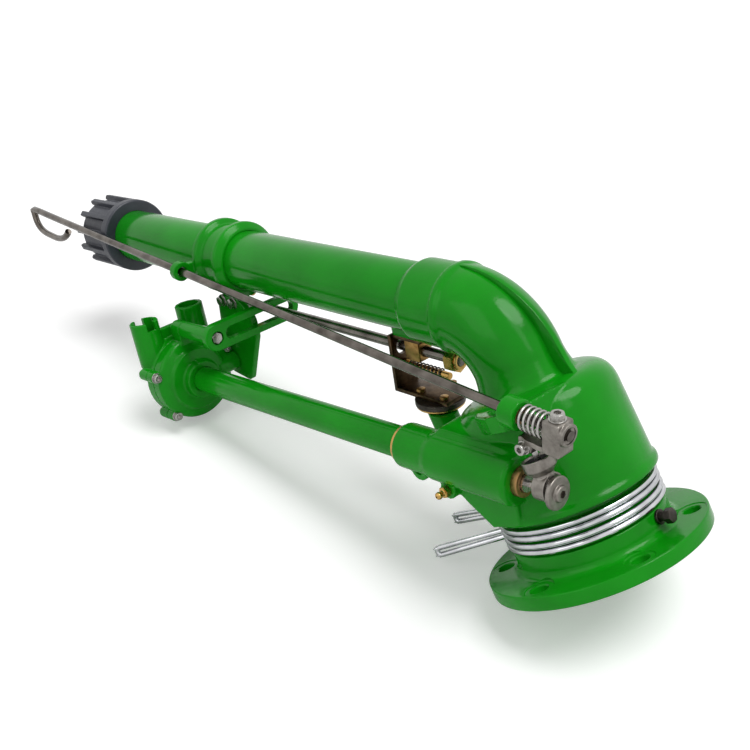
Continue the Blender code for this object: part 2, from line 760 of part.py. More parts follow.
def housing_cavity():
    profile = [(0.0, HOUSING_FRONT + OVERSHOOT), (TUBE_RADIUS + GAP, HOUSING_FRONT + OVERSHOOT),
               (TUBE_RADIUS + GAP, TUBE_BACK), (CHAMBER_RADIUS, TUBE_BACK),
               (CHAMBER_RADIUS, REAR_BUSH_FRONT + GAP), (REAR_BUSH_RADIUS + GAP, REAR_BUSH_FRONT + GAP),
               (REAR_BUSH_RADIUS + GAP, BUSH_CHANNEL_END), (0.0, BUSH_CHANNEL_END)]
    return turned("housing_cavity", profile, DRIVE, steps=24, cutter=True)


CHAMBER_RADIUS = WORM_TIP_RADIUS + 1.5
REAR_BUSH_FRONT = -WORM_LENGTH / 2 - 2.0
BUSH_CHANNEL_END = -62.0


def switch_pad():
    end = SWITCH_PAD_END
    outline = [(42.0, 14.0), (42.0, -14.0), (end - 8.0, -12.0), (end, -6.0), (end, 6.0), (end - 8.0, 12.0)]
    return plate("switch_pad", outline, SWITCH_PAD_H, -24.0, under_barrel_frame(), cutter=True)


SWITCH_PAD_H = -41.0
SWITCH_PAD_END = 134.0
SWITCH_PIN_TOP = -33.0


def under_barrel_frame():
    """Over the reverser's line: local X along the barrel, local Y along +Y, local Z up from its axis."""
    return frame_from(barrel_point(0.0, REVERSER_Y, 0.0), BARREL_UP)


def trip_post():
    post = rod("trip_post", TRIP_POST_RADIUS, TRIP_POST_LOW, TRIP_POST_HIGH,
               shifted(WORLD, TRIP_POST_X), sides=20, cutter=True)
    web = block("trip_web", (BELL_TOP_RADIUS - 6.0, -6.0, TRIP_POST_LOW + 2.0),
                (TRIP_POST_X, 6.0, TRIP_POST_HIGH - 4.0), WORLD, cutter=True)
    return post, web


TRIP_POST_LOW = 92.0
TRIP_POST_HIGH = 132.0


def gun_body():
    item = bell()
    join(item, elbow_outer(), barrel_socket(), back_rib(), boss_shoulder(), rod_boss(), worm_bulge(),
         side_pad(), housing_tube(), switch_pad(), *trip_post())
    lug = rod("front_lug", 9.5, DRIVE_OFFSET - 10.0, DRIVE_OFFSET + 10.0, facing_y(*LUG_XZ), sides=24,
              cutter=True)
    grease_boss = rod("grease_boss", 8.0, DRIVE_OFFSET - 12.0, GREASE_FACE_Y, facing_y(*GREASE_XZ),
                      sides=20, cutter=True)
    join(item, lug, grease_boss)
    cut(item, bell_cavity(), elbow_inner(), housing_cavity())
    pipe_seat = rod("pipe_seat", PIPE_RADIUS + GAP, PIPE_BACK - GAP, SWITCH_PAD_END + OVERSHOOT, BARREL,
                    sides=36, cutter=True)
    boss_bore = rod("boss_bore", ROD_BUSH_RADIUS + GAP, -2.0 - OVERSHOOT,
                    ROD_BOSS_LENGTH - 2.0 + OVERSHOOT, ROD, sides=24, cutter=True)
    lug_hole = rod("lug_hole", 3.4, DRIVE_OFFSET + 1.0, DRIVE_OFFSET + 10.0 + OVERSHOOT,
                   facing_y(*LUG_XZ), sides=16, cutter=True)
    pad_hole = rod("pad_hole", 2.6, PAD_FACE_Y + 2.5, PAD_FACE_Y + 22.0, facing_y(*PAD_HOLE_XZ),
                   sides=16, cutter=True)
    grease_hole = rod("grease_hole", GREASE_THREAD_RADIUS + GAP, GREASE_FACE_Y - 8.0,
                      GREASE_FACE_Y + OVERSHOOT, facing_y(*GREASE_XZ), sides=16, cutter=True)
    post_bore = rod("post_bore", TRIP_SHAFT_RADIUS + RUNNING, TRIP_POST_LOW - OVERSHOOT,
                    TRIP_POST_HIGH + OVERSHOOT, shifted(WORLD, TRIP_POST_X), sides=24, cutter=True)
    pin_hole = rod("switch_pin_hole", SWITCH_PIN_RADIUS + GAP, SWITCH_PAD_H - OVERSHOOT,
                   SWITCH_PIN_TOP + GAP, switch_pin_frame(), sides=16, cutter=True)
    cut(item, pipe_seat, boss_bore, lug_hole, pad_hole, grease_hole, post_bore, pin_hole)
    return item


PIPE_BACK = 46.3
ROD_BUSH_RADIUS = 7.0
GREASE_THREAD_RADIUS = 2.6
SWITCH_PIN_RADIUS = 3.2


def switch_pin_frame():
    """On the reverser's pivot, with local Z along the barrel's up direction."""
    return frame_from(barrel_point(REVERSER_PIVOT_S, REVERSER_Y, 0.0), BARREL_UP)


def lower_bush():
    low = LIP_BOTTOM + 1.2
    return ring("lower_bush", SPIGOT_RADIUS + RUNNING, BELL_CAVITY_RADIUS - GAP, low,
                low + BUSH_HEIGHT, WORLD, bronze(), 32)


def upper_bearing():
    low = BEARING_SEAT_Z + GAP
    return ring("upper_bearing", RISER_RADIUS + GAP, BEARING_RADIUS, low, low + BEARING_HEIGHT, WORLD,
                steel(), 32)


def top_seal():
    low = BEARING_SEAT_Z + BEARING_HEIGHT + NUT_HEIGHT + 5 * GAP
    return ring("top_seal", RISER_RADIUS + GAP, SEAL_RADIUS, low, low + SEAL_HEIGHT, WORLD, rubber(), 32)


# Barrel

PIPE_STOP = (COLLAR_START + COLLAR_END) / 2 - 1.0


def barrel_rear():
    return ring("barrel_rear", PIPE_RADIUS - PIPE_WALL, PIPE_RADIUS, PIPE_BACK, PIPE_STOP - GAP, BARREL,
                paint(), 32)


def barrel_front():
    return ring("barrel_front", FRONT_PIPE_RADIUS - PIPE_WALL, FRONT_PIPE_RADIUS, PIPE_STOP + 2.0 + GAP,
                CAP_SHOULDER - GAP, BARREL, paint(), 32)


CAP_SHOULDER = CAP_START + 24.0


def barrel_collar():
    wide = COLLAR_RING_WIDTH
    band = COLLAR_BAND_RADIUS
    high = COLLAR_RING_RADIUS
    start = COLLAR_START
    end = COLLAR_END
    profile = [(0.0, end + 3.0), (FRONT_PIPE_RADIUS + 3.0, end + 3.0), (high - 1.0, end), (high, end - 1.2),
               (high, end - wide + 1.2), (high - 1.0, end - wide), (band, end - wide - 3.0),
               (band, start + wide + 3.0), (high - 1.0, start + wide), (high, start + wide - 1.2),
               (high, start + 1.2), (high - 1.0, start), (PIPE_RADIUS + 2.4, start - 4.0),
               (0.0, start - 4.0)]
    item = turned("barrel_collar", profile, BARREL, paint(), steps=32)
    eye_frame = shifted(ROD, z=ROD_SPAN)
    eye = rod("rod_eye", EYE_RADIUS, -EYE_WIDTH / 2, EYE_WIDTH / 2, eye_frame, sides=24, cutter=True)
    arm = block("eye_arm", (-6.0, -20.0, -EYE_WIDTH / 2 + 0.6), (6.0, -2.0, EYE_WIDTH / 2 - 0.6),
                eye_frame, cutter=True)
    foot = block("bracket_foot", (28.0, BRACKET_Y_LOW - 9.0, COLLAR_START + 6.0),
                 (BRACKET_FOOT_H, BRACKET_Y_LOW - GAP, COLLAR_END - 6.0), BARREL, cutter=True)
    feed = rod("feed_boss", 9.0, 28.0, FEED_BOSS_END, feed_frame(), sides=24, cutter=True)
    join(item, eye, arm, foot, feed)
    stepped = [(0.0, end + 8.0), (FRONT_PIPE_RADIUS + GAP, end + 8.0),
               (FRONT_PIPE_RADIUS + GAP, PIPE_STOP + 2.0), (PIPE_RADIUS - PIPE_WALL, PIPE_STOP + 2.0),
               (PIPE_RADIUS - PIPE_WALL, PIPE_STOP), (PIPE_RADIUS + GAP, PIPE_STOP),
               (PIPE_RADIUS + GAP, start - 8.0), (0.0, start - 8.0)]
    inside = turned("collar_bore", stepped, BARREL, steps=32, cutter=True)
    eye_bore = rod("eye_bore", ROD_RADIUS + RUNNING + 0.4, -EYE_WIDTH, EYE_WIDTH, eye_frame, sides=20,
                   cutter=True)
    feed_bore = rod("feed_bore", FEED_RADIUS + GAP, 25.0, FEED_BOSS_END + OVERSHOOT, feed_frame(), sides=20,
                    cutter=True)
    holes = [rod(f"foot_hole_{i}", 3.0 + GAP, -BRACKET_BOLT_DEPTH - 1.0, OVERSHOOT,
                 bracket_bolt_frame(i), sides=14, cutter=True) for i in (0, 1)]
    return cut(item, inside, eye_bore, feed_bore, *holes)


FEED_S = 364.0
FEED_Y = -11.0
FEED_BOSS_END = 36.5
FEED_RADIUS = 5.0
BRACKET_Y_LOW = 12.0
BRACKET_THICKNESS = 7.0
BRACKET_FOOT_H = 49.0
BRACKET_BOLT_DEPTH = 13.5


def feed_frame():
    """Under the collar, with local Z pointing down from the barrel."""
    down = tuple(-value for value in BARREL_UP)
    return frame_from(barrel_point(FEED_S, FEED_Y, 0.0), down)


def stream_straightener():
    """Crossed vanes inside a thin sleeve that calm the water before the nozzle."""
    low = 120.0
    high = low + VANE_LENGTH
    outer = PIPE_RADIUS - PIPE_WALL - GAP
    item = ring("stream_straightener", outer - 1.6, outer, low, high, BARREL, slate_plastic(), 24)
    for index in range(VANE_COUNT // 2):
        turn = Matrix.Rotation(math.pi / (VANE_COUNT // 2) * index, 4, "Z")
        vane = block(f"vane_{index}", (-outer + 0.8, -VANE_THICKNESS / 2, low + 2.0),
                     (outer - 0.8, VANE_THICKNESS / 2, high - 2.0), BARREL @ turn, cutter=True)
        join(item, vane)
    return item


def nozzle_cap():
    rim_end = CAP_START + CAP_RIM_LENGTH
    front = CAP_START + CAP_LENGTH
    profile = [(NOZZLE_BORE + 6.0, front), (CAP_BODY_RADIUS - 2.0, front), (CAP_BODY_RADIUS, front - 3.0),
               (CAP_BODY_RADIUS, rim_end), (CAP_RIM_RADIUS, rim_end), (CAP_RIM_RADIUS, CAP_START + 1.5),
               (CAP_RIM_RADIUS - 1.5, CAP_START), (FRONT_PIPE_RADIUS + GAP, CAP_START),
               (FRONT_PIPE_RADIUS + GAP, CAP_SHOULDER + NOZZLE_LENGTH + GAP),
               (NOZZLE_BORE + 6.0, CAP_SHOULDER + NOZZLE_LENGTH + GAP)]
    item = turned("nozzle_cap", profile, BARREL, slate_plastic(), steps=36)
    for index in range(CAP_FIN_COUNT):
        turn = Matrix.Rotation(math.tau / CAP_FIN_COUNT * (index + 0.5), 4, "Z")
        outline = [(CAP_BODY_RADIUS - 3.5, rim_end - 3.0), (CAP_RIM_RADIUS, rim_end - 3.0),
                   (CAP_RIM_RADIUS + 0.6, CAP_START + CAP_FIN_LENGTH - 3.0),
                   (CAP_RIM_RADIUS - 1.4, CAP_START + CAP_FIN_LENGTH),
                   (CAP_RIM_RADIUS - 5.4, CAP_START + CAP_FIN_LENGTH),
                   (CAP_BODY_RADIUS - 3.5, front - 4.0)]
        side = BARREL @ turn @ Matrix.Rotation(math.pi / 2, 4, "X")
        fin = plate(f"cap_fin_{index}", outline, -CAP_FIN_WIDTH / 2, CAP_FIN_WIDTH / 2, side, cutter=True)
        join(item, fin)
    return item


def nozzle_ring():
    low = CAP_SHOULDER
    high = low + NOZZLE_LENGTH
    outer = FRONT_PIPE_RADIUS
    profile = [(outer, high), (outer, low), (FRONT_PIPE_RADIUS - PIPE_WALL, low), (NOZZLE_BORE, high - 3.0),
               (NOZZLE_BORE, high)]
    return turned("nozzle_ring", profile, BARREL, brass(), steps=28)


# Drive train

def drive_tube():
    return ring("drive_tube", TUBE_RADIUS - TUBE_WALL, TUBE_RADIUS, TUBE_BACK + GAP,
                TURBINE_BACK + 12.0 - GAP, DRIVE, paint(), 24)


def tube_gland():
    return ring("tube_gland", TUBE_RADIUS + GAP, HOUSING_RADIUS - 4.0, HOUSING_FRONT + GAP,
                HOUSING_FRONT + 3.5, DRIVE, brass(), 24)


def rear_bush():
    return ring("rear_bush", SHAFT_RADIUS + RUNNING, REAR_BUSH_RADIUS, REAR_BUSH_BACK, REAR_BUSH_FRONT,
                DRIVE, bronze(), 24)


def front_bush():
    high = TUBE_BACK - GAP
    return ring("front_bush", SHAFT_RADIUS + RUNNING, CHAMBER_RADIUS - GAP, high - FRONT_BUSH_LENGTH, high,
                DRIVE, bronze(), 24)


def drive_shaft():
    profile = [(0.0, RUNNER_BACK + 22.0), (SHAFT_RADIUS, RUNNER_BACK + 22.0),
               (SHAFT_RADIUS, REAR_BUSH_BACK - 2.0), (STUB_RADIUS, REAR_BUSH_BACK - 2.0),
               (STUB_RADIUS, CRANK_SCREW_T), (0.0, CRANK_SCREW_T)]
    return turned("drive_shaft", profile, DRIVE, steel(), steps=24)


ECCENTRIC_BACK = ECCENTRIC_CENTRE - ECCENTRIC_WIDTH / 2
CRANK_SCREW_T = ECCENTRIC_BACK - GAP
RUNNER_BACK = TURBINE_SPLIT - 10.0


def worm():
    """One left-hand thread: the same cam-shaped section, turned as it goes along the axis."""
    pitch = math.tau * WORM_PITCH_RADIUS * math.tan(worm_lead_angle())
    corners = [(-180.0, WORM_ROOT_RADIUS), (-140.0, WORM_ROOT_RADIUS), (-98.0, WORM_ROOT_RADIUS),
               (-48.0, WORM_TIP_RADIUS), (-16.0, WORM_TIP_RADIUS), (16.0, WORM_TIP_RADIUS),
               (48.0, WORM_TIP_RADIUS), (98.0, WORM_ROOT_RADIUS), (140.0, WORM_ROOT_RADIUS)]
    per_turn = 10
    layer_count = int(WORM_LENGTH / pitch * per_turn)
    layers = []
    for index in range(layer_count + 1):
        z = -WORM_LENGTH / 2 + WORM_LENGTH * index / layer_count
        turn = -90.0 - 360.0 * z / pitch
        layer = [(radius * math.cos(math.radians(turn + a)), radius * math.sin(math.radians(turn + a)), z)
                 for a, radius in corners]
        layers.append(layer)
    return layered("worm", layers, DRIVE, steel(), bore=SHAFT_RADIUS + GAP)


def turbine_wheel():
    """A disc hub with flat paddles round it."""
    step = 360.0 / RUNNER_BLADES
    root = RUNNER_RADIUS - 13.0
    outline = []
    for index in range(RUNNER_BLADES):
        middle = step * index
        for share, radius in ((-0.16, root), (-0.10, RUNNER_RADIUS), (0.10, RUNNER_RADIUS), (0.16, root)):
            angle = math.radians(middle + share * step)
            outline.append((radius * math.cos(angle), radius * math.sin(angle)))
    item = plate("turbine_wheel", outline, RUNNER_BACK + 2.0, RUNNER_BACK + 18.0, DRIVE)
    item.data.materials.append(slate_plastic())
    bore = rod("runner_bore", SHAFT_RADIUS + GAP, RUNNER_BACK - OVERSHOOT, RUNNER_BACK + 24.0, DRIVE,
               cutter=True)
    return cut(item, bore)


def eccentric():
    frame = shifted(DRIVE, x=-CRANK_THROW)
    item = rod("eccentric", ECCENTRIC_RADIUS, ECCENTRIC_BACK, ECCENTRIC_BACK + ECCENTRIC_WIDTH, frame,
               steel(), sides=32)
    bore = rod("eccentric_bore", STUB_RADIUS + GAP, ECCENTRIC_BACK - OVERSHOOT,
               ECCENTRIC_BACK + ECCENTRIC_WIDTH + OVERSHOOT, DRIVE, sides=20, cutter=True)
    return cut(item, bore)


def crank_screw():
    """The big washer and socket screw on the shaft's end, as one turned piece with its hex socket."""
    face = CRANK_SCREW_T - GAP
    washer = ECCENTRIC_RADIUS + 4.5
    profile = [(0.0, face), (washer, face), (washer, face - 2.2), (washer - 0.8, face - 3.0),
               (6.2, face - 3.0), (6.2, face - 5.4),
               (5.6, face - 6.0), (0.0, face - 6.0)]
    item = turned("crank_screw", profile, DRIVE, steel(), steps=20)
    socket = rod("crank_socket", 3.0, face - 6.0 - OVERSHOOT, face - 2.8, DRIVE, sides=6, cutter=True)
    return cut(item, socket)


def crank_strap():
    """The eccentric's strap with the open cup that the link pin hangs in."""
    frame = shifted(DRIVE, x=-CRANK_THROW)
    bore_radius = ECCENTRIC_RADIUS + RUNNING
    low = ECCENTRIC_CENTRE - STRAP_WIDTH / 2
    high = ECCENTRIC_CENTRE + STRAP_WIDTH / 2
    item = rod("crank_strap", bore_radius + STRAP_WALL, low, high, frame, steel(), sides=28)
    rim = CUP_FLOOR_Z + CUP_DEPTH
    profile = [(0.0, rim), (CUP_RADIUS - 0.6, rim), (CUP_RADIUS, rim - 0.6), (CUP_RADIUS, CUP_FLOOR_Z + 1.0),
               (CUP_FOOT_RADIUS, CUP_FOOT_Z), (CUP_FOOT_RADIUS - 1.0, CUP_FOOT_Z - 5.0),
               (0.0, CUP_FOOT_Z - 5.0)]
    cup = turned("cup_body", profile, pin_frame(), steps=20, cutter=True)
    join(item, cup)
    hollow = rod("cup_hollow", CUP_BORE, CUP_FLOOR_Z, rim + OVERSHOOT, pin_frame(), sides=20, cutter=True)
    bore = rod("strap_bore", bore_radius, low - OVERSHOOT, high + CUP_FOOT_RELIEF, frame, sides=28,
               cutter=True)
    return cut(item, hollow, bore)


def turbine_lugs(name, low, high):
    return [rod(f"{name}_lug_{index}", TURBINE_LUG_RADIUS, low, high, lug_frame(angle), sides=12,
                cutter=True) for index, angle in enumerate(TURBINE_LUG_ANGLES)]


def lug_frame(angle):
    """Along the shaft, at a lug. Angles start at +Y and run up over the casing."""
    up = TURBINE_LUG_CIRCLE * math.sin(math.radians(angle))
    side = TURBINE_LUG_CIRCLE * math.cos(math.radians(angle))
    return shifted(DRIVE, x=-up, y=side)


def lug_holes(name, low, high):
    return [rod(f"{name}_hole_{index}", TURBINE_BOLT_RADIUS + GAP, low - OVERSHOOT, high + OVERSHOOT,
                lug_frame(angle), sides=14, cutter=True) for index, angle in enumerate(TURBINE_LUG_ANGLES)]


TURBINE_BOLT_RADIUS = 2.6


def turbine_housing():
    back = TURBINE_BACK
    seat = back + 12.0
    profile = [(SHAFT_RADIUS + 4.0, TURBINE_SPLIT), (TURBINE_RADIUS, TURBINE_SPLIT),
               (TURBINE_RADIUS, back + 18.5), (TURBINE_RADIUS - 2.0, back + 16.0),
               (TURBINE_HUB_RADIUS + 14.0, back + 12.5), (TURBINE_HUB_RADIUS + 12.5, back + 9.0),
               (TURBINE_HUB_RADIUS + 1.0, back + 7.5), (TURBINE_HUB_RADIUS - 0.6, back),
               (TUBE_RADIUS + GAP, back), (TUBE_RADIUS + GAP, seat), (SHAFT_RADIUS + 4.0, seat)]
    item = turned("turbine_housing", profile, DRIVE, paint(), steps=28)
    join(item, *turbine_lugs("housing", back + 20.0, TURBINE_SPLIT))
    pad = rod("bracket_pad", 10.5, BRACKET_Y_LOW + BRACKET_THICKNESS + GAP - DRIVE_OFFSET, -25.0,
              bracket_pad_frame(), sides=20, cutter=True)
    lug = rod("guide_lug", GUIDE_BOSS_RADIUS, GUIDE_BOSS_END, TURBINE_SPLIT, guide_bolt_frame(), sides=20,
              cutter=True)
    web = block("guide_web", (-GUIDE_BOSS_M, -GUIDE_BOSS_RADIUS + 1.0, GUIDE_BOSS_END + 0.5),
                (-TURBINE_RADIUS + 6.5, GUIDE_BOSS_RADIUS - 1.0, TURBINE_SPLIT - 0.5), DRIVE, cutter=True)
    join(item, pad, lug, web)
    cavity = rod("housing_hollow", TURBINE_CAVITY_RADIUS, RUNNER_BACK, TURBINE_SPLIT + OVERSHOOT, DRIVE,
                 sides=20, cutter=True)
    guide_hole = rod("guide_bolt_hole", GUIDE_BOLT_RADIUS + GAP, GUIDE_BOSS_END - OVERSHOOT,
                     GUIDE_BOSS_END + 13.0, guide_bolt_frame(), sides=16, cutter=True)
    cut(item, cavity, guide_hole, *lug_holes("housing", back + 20.0, TURBINE_SPLIT))
    pad_hole = rod("casing_pad_hole", 3.0 + GAP, -BRACKET_BOLT_DEPTH - 1.0, OVERSHOOT,
                   bracket_bolt_frame(2), sides=14, cutter=True)
    return cut(item, pad_hole)


BRACKET_PAD_T = 417.0


def bracket_pad_frame():
    """A frame across the casing, with local Z along +Y from the shaft axis."""
    return frame_from(drive_point(BRACKET_PAD_T, 0.0, 0.0), (0.0, 1.0, 0.0), (0.0, 0.0, 1.0))


def turbine_cover():
    low = TURBINE_SPLIT + GAP
    high = TURBINE_FRONT
    profile = [(0.0, high), (TURBINE_HUB_RADIUS, high), (TURBINE_HUB_RADIUS + 2.0, high - 3.0),
               (TURBINE_RADIUS - 5.0, high - 4.0), (TURBINE_RADIUS, high - 9.0), (TURBINE_RADIUS, low),
               (0.0, low)]
    item = turned("turbine_cover", profile, DRIVE, paint(), steps=28)
    join(item, *turbine_lugs("cover", low, high - 6.0))
    for side in (-1.0, 1.0):
        inlet = rod(f"inlet_{side:+.0f}", INLET_RADIUS, TURBINE_RADIUS - 24.0, INLET_TOP,
                    inlet_frame(side), sides=20, cutter=True)
        join(item, inlet)
    bridge = block("inlet_bridge", (-INLET_TOP + 14.0, -INLET_OFFSET, INLET_T - 4.0),
                   (-TURBINE_RADIUS + 5.0, INLET_OFFSET, INLET_T + 4.0), DRIVE, cutter=True)
    join(item, bridge)
    cavity = rod("cover_hollow", TURBINE_CAVITY_RADIUS, low - OVERSHOOT, high - 6.0, DRIVE, sides=24,
                 cutter=True)
    cut(item, cavity)
    for side in (-1.0, 1.0):
        bore = rod(f"inlet_bore_{side:+.0f}", INLET_RADIUS - 4.0, TURBINE_RADIUS - 20.5,
                   INLET_TOP + OVERSHOOT, inlet_frame(side), sides=24, cutter=True)
        cut(item, bore)
    notch = block("inlet_notch", (-INLET_TOP - OVERSHOOT, INLET_OFFSET - 5.0, INLET_T - 30.0),
                  (-INLET_TOP + 9.0, INLET_OFFSET + 5.0, INLET_T + 30.0), DRIVE, cutter=True)
    drain = block("drain_slot", (TURBINE_CAVITY_RADIUS - 6.0, -16.0, low + 3.0),
                  (TURBINE_RADIUS + 6.0, 16.0, high - 8.0), DRIVE, cutter=True)
    return cut(item, notch, drain, *lug_holes("cover", low, high - 6.0))


INLET_T = 446.5


def inlet_frame(side):
    """Upright on the shaft axis at an inlet, with local Z away from the shaft."""
    up = (-math.sin(math.radians(DRIVE_ANGLE)), 0.0, math.cos(math.radians(DRIVE_ANGLE)))
    return frame_from(drive_point(INLET_T, side * INLET_OFFSET, 0.0), up)


# Bracket, guide bar and drive nozzle

def bracket_frame():
    """Upright in the barrel's plane: local X along the barrel, local Y up, local Z towards -Y."""
    return frame_from((0.0, 0.0, BARREL_AXIS_Z), (0.0, -1.0, 0.0), BARREL_UP)


def turbine_bracket():
    outline = [(336.0, -46.0), (326.0, -56.0), (324.0, -76.0), (352.0, -134.0), (386.0, -130.0),
               (394.0, -108.0), (388.0, -72.0), (384.0, -44.0), (379.0, -38.2), (346.0, -38.2)]
    low = -(BRACKET_Y_LOW + BRACKET_THICKNESS)
    item = plate("turbine_bracket", outline, low, -BRACKET_Y_LOW, bracket_frame())
    item.data.materials.append(paint())
    holes = [rod(f"bracket_hole_{i}", 3.0 + GAP, -BRACKET_THICKNESS * 2, BRACKET_THICKNESS * 2,
                 bracket_bolt_frame(i), sides=14, cutter=True) for i in (0, 1, 2)]
    return cut(item, *holes)


BRACKET_BOLT_SPOTS = ((354.0, -43.5), (373.0, -43.5))


def bracket_bolt_frame(index):
    """At the plate's face that the bolt head seats on, with local Z out of the head."""
    if index < 2:
        s, h = BRACKET_BOLT_SPOTS[index]
        return frame_from(barrel_point(s, BRACKET_Y_LOW + BRACKET_THICKNESS, h), (0.0, 1.0, 0.0),
                          (0.0, 0.0, 1.0))
    spot = drive_point(BRACKET_PAD_T, BRACKET_Y_LOW - DRIVE_OFFSET, 0.0)
    return frame_from(spot, (0.0, -1.0, 0.0), (0.0, 0.0, 1.0))


GUIDE_S = 317.0
GUIDE_THICKNESS = 8.0
GUIDE_HALF_HEIGHT = 14.0
GUIDE_SLOT_HALF = 6.8
GUIDE_SLOT_LOW_Y = -20.0
GUIDE_SLOT_HIGH_Y = 44.0
GUIDE_BAR_LOW_Y = -20.0
GUIDE_BOSS_M = 54.0
GUIDE_BOSS_RADIUS = 9.0
GUIDE_BOLT_RADIUS = 3.4
GUIDE_BOSS_END = TURBINE_BACK + 14.0


def guide_bolt_frame():
    """Along the shaft at the guide bar's boss."""
    return shifted(DRIVE, x=-GUIDE_BOSS_M)


def guide_bar_frame(y):
    """Square to the barrel at the guide bar: local X along +Y, local Z along the barrel."""
    middle = barrel_point(GUIDE_S, y, REVERSER_H)
    return frame_from(middle, incline(BARREL_ANGLE), (0.0, 0.0, 1.0))


def slotted_guide():
    low = GUIDE_BAR_LOW_Y
    high = DRIVE_OFFSET
    middle = (low + high) / 2
    item = plate("slotted_guide", rounded_bar((high - low) / 2, GUIDE_HALF_HEIGHT),
                 -GUIDE_THICKNESS / 2, GUIDE_THICKNESS / 2, guide_bar_frame(middle))
    item.data.materials.append(paint())
    boss_start = GUIDE_BOSS_END - 56.0
    boss = rod("guide_boss", GUIDE_BOSS_RADIUS, boss_start, GUIDE_BOSS_END - GAP, guide_bolt_frame(),
               sides=24, cutter=True)
    join(item, boss)
    slot_middle = (GUIDE_SLOT_LOW_Y + GUIDE_SLOT_HIGH_Y) / 2
    slot = plate("guide_slot", rounded_bar((GUIDE_SLOT_HIGH_Y - GUIDE_SLOT_LOW_Y) / 2, GUIDE_SLOT_HALF),
                 -GUIDE_THICKNESS, GUIDE_THICKNESS, guide_bar_frame(slot_middle), cutter=True)
    hole = rod("guide_hole", GUIDE_BOLT_RADIUS + GAP, boss_start - 20.0, GUIDE_BOSS_END + OVERSHOOT,
               guide_bolt_frame(), sides=16, cutter=True)
    seat = rod("guide_head_seat", GUIDE_HEAD_RADIUS + 1.0, boss_start - 30.0, GUIDE_HEAD_T,
               guide_bolt_frame(), sides=20, cutter=True)
    return cut(item, hole, seat, slot)


GUIDE_HEAD_RADIUS = 6.0
GUIDE_HEAD_T = GUIDE_BOSS_END - 55.0


def guide_bolt():
    end = GUIDE_BOSS_END + 12.0
    profile = [(0.0, end), (GUIDE_BOLT_RADIUS, end), (GUIDE_BOLT_RADIUS, GUIDE_HEAD_T - GAP),
               (GUIDE_HEAD_RADIUS, GUIDE_HEAD_T - GAP), (GUIDE_HEAD_RADIUS, GUIDE_HEAD_T - 6.0),
               (0.0, GUIDE_HEAD_T - 6.0)]
    return turned("guide_bolt", profile, guide_bolt_frame(), steel(), steps=16)


JET_H = -42.0
JET_TIP_S = 384.0


def drive_jet_nozzle():
    """An elbow under the collar that feeds a thin jet forward to the deflector."""
    item = rod("drive_jet_nozzle", FEED_RADIUS, 31.0, -JET_H + 3.0, feed_frame(), brass(), sides=20)
    collar = rod("feed_shoulder", FEED_RADIUS + 2.0, FEED_BOSS_END + GAP, -JET_H + 4.5, feed_frame(), sides=6,
                 cutter=True)
    along = shifted(BARREL, x=-JET_H, y=FEED_Y)
    pipe = rod("jet_pipe", 4.6, FEED_S - 5.0, JET_TIP_S, along, sides=20, top_radius=3.0, cutter=True)
    join(item, collar, pipe)
    inlet = rod("feed_passage", 2.6, 31.0 - OVERSHOOT, -JET_H, feed_frame(), sides=12, cutter=True)
    passage = rod("jet_passage", 1.8, FEED_S - 1.0, JET_TIP_S + OVERSHOOT, along, sides=12, cutter=True)
    return cut(item, inlet, passage)


def grease_nipple():
    low = GREASE_FACE_Y
    profile = [(0.0, low + 12.5), (1.8, low + 12.3), (3.1, low + 10.6), (3.1, low + 9.0),
               (2.1, low + 7.6), (3.0, low + 5.6), (4.9, low + 5.0), (4.9, low + GAP),
               (GREASE_THREAD_RADIUS, low + GAP), (GREASE_THREAD_RADIUS, low - 7.0), (0.0, low - 7.0)]
    return turned("grease_nipple", profile, facing_y(*GREASE_XZ), brass(), steps=16)


# Reversing switch under the elbow

SWITCH_PLATE = 4.0
SWITCH_END_S = 132.0
SWITCH_HALF_WIDTH = 14.0
SWITCH_FLANGE = 3.0
SWITCH_BOTTOM_H = -97.0


def switch_block(name, s_low, s_high, y_half, h_low, h_high, look=None, bevel=0.0, cutter=False):
    """A box under the barrel, centred sideways on the reverser."""
    return block(name, (-h_high, REVERSER_Y - y_half, s_low), (-h_low, REVERSER_Y + y_half, s_high),
                 BARREL, look, bevel, cutter)


def switch_frame():
    wall = SWITCH_PLATE
    top = SWITCH_PAD_H - GAP
    width = SWITCH_HALF_WIDTH
    item = switch_block("switch_frame", SWITCH_END_S - wall, SWITCH_END_S, width, SWITCH_BOTTOM_H, top,
                        brass())
    shelf = switch_block("switch_shelf", 66.0, SWITCH_END_S - 1.0, width, SWITCH_BOTTOM_H,
                         SWITCH_BOTTOM_H + wall, cutter=True)
    flange = switch_block("switch_flange", 94.0, SWITCH_END_S - 1.0, 11.0, top - SWITCH_FLANGE, top,
                          cutter=True)
    join(item, shelf, flange)
    side = shifted(BARREL, x=-REVERSER_H, y=REVERSER_Y)
    window = rod("switch_window", REVERSER_RADIUS + 3.0, SWITCH_END_S - 12.0, SWITCH_END_S + 8.0, side,
                 sides=20, cutter=True)
    pin_hole = rod("frame_pin_hole", SWITCH_PIN_RADIUS + GAP, -60.0, -30.0, switch_pin_frame(), sides=16,
                   cutter=True)
    rod_hole = rod("toggle_hole", TOGGLE_RADIUS + GAP, SWITCH_END_S - 12.0, SWITCH_END_S + 8.0,
                   toggle_frame(), sides=14, cutter=True)
    return cut(item, window, pin_hole, rod_hole)


TOGGLE_RADIUS = 3.4
TOGGLE_H = -74.0


def toggle_frame():
    return shifted(BARREL, x=-TOGGLE_H, y=REVERSER_Y)


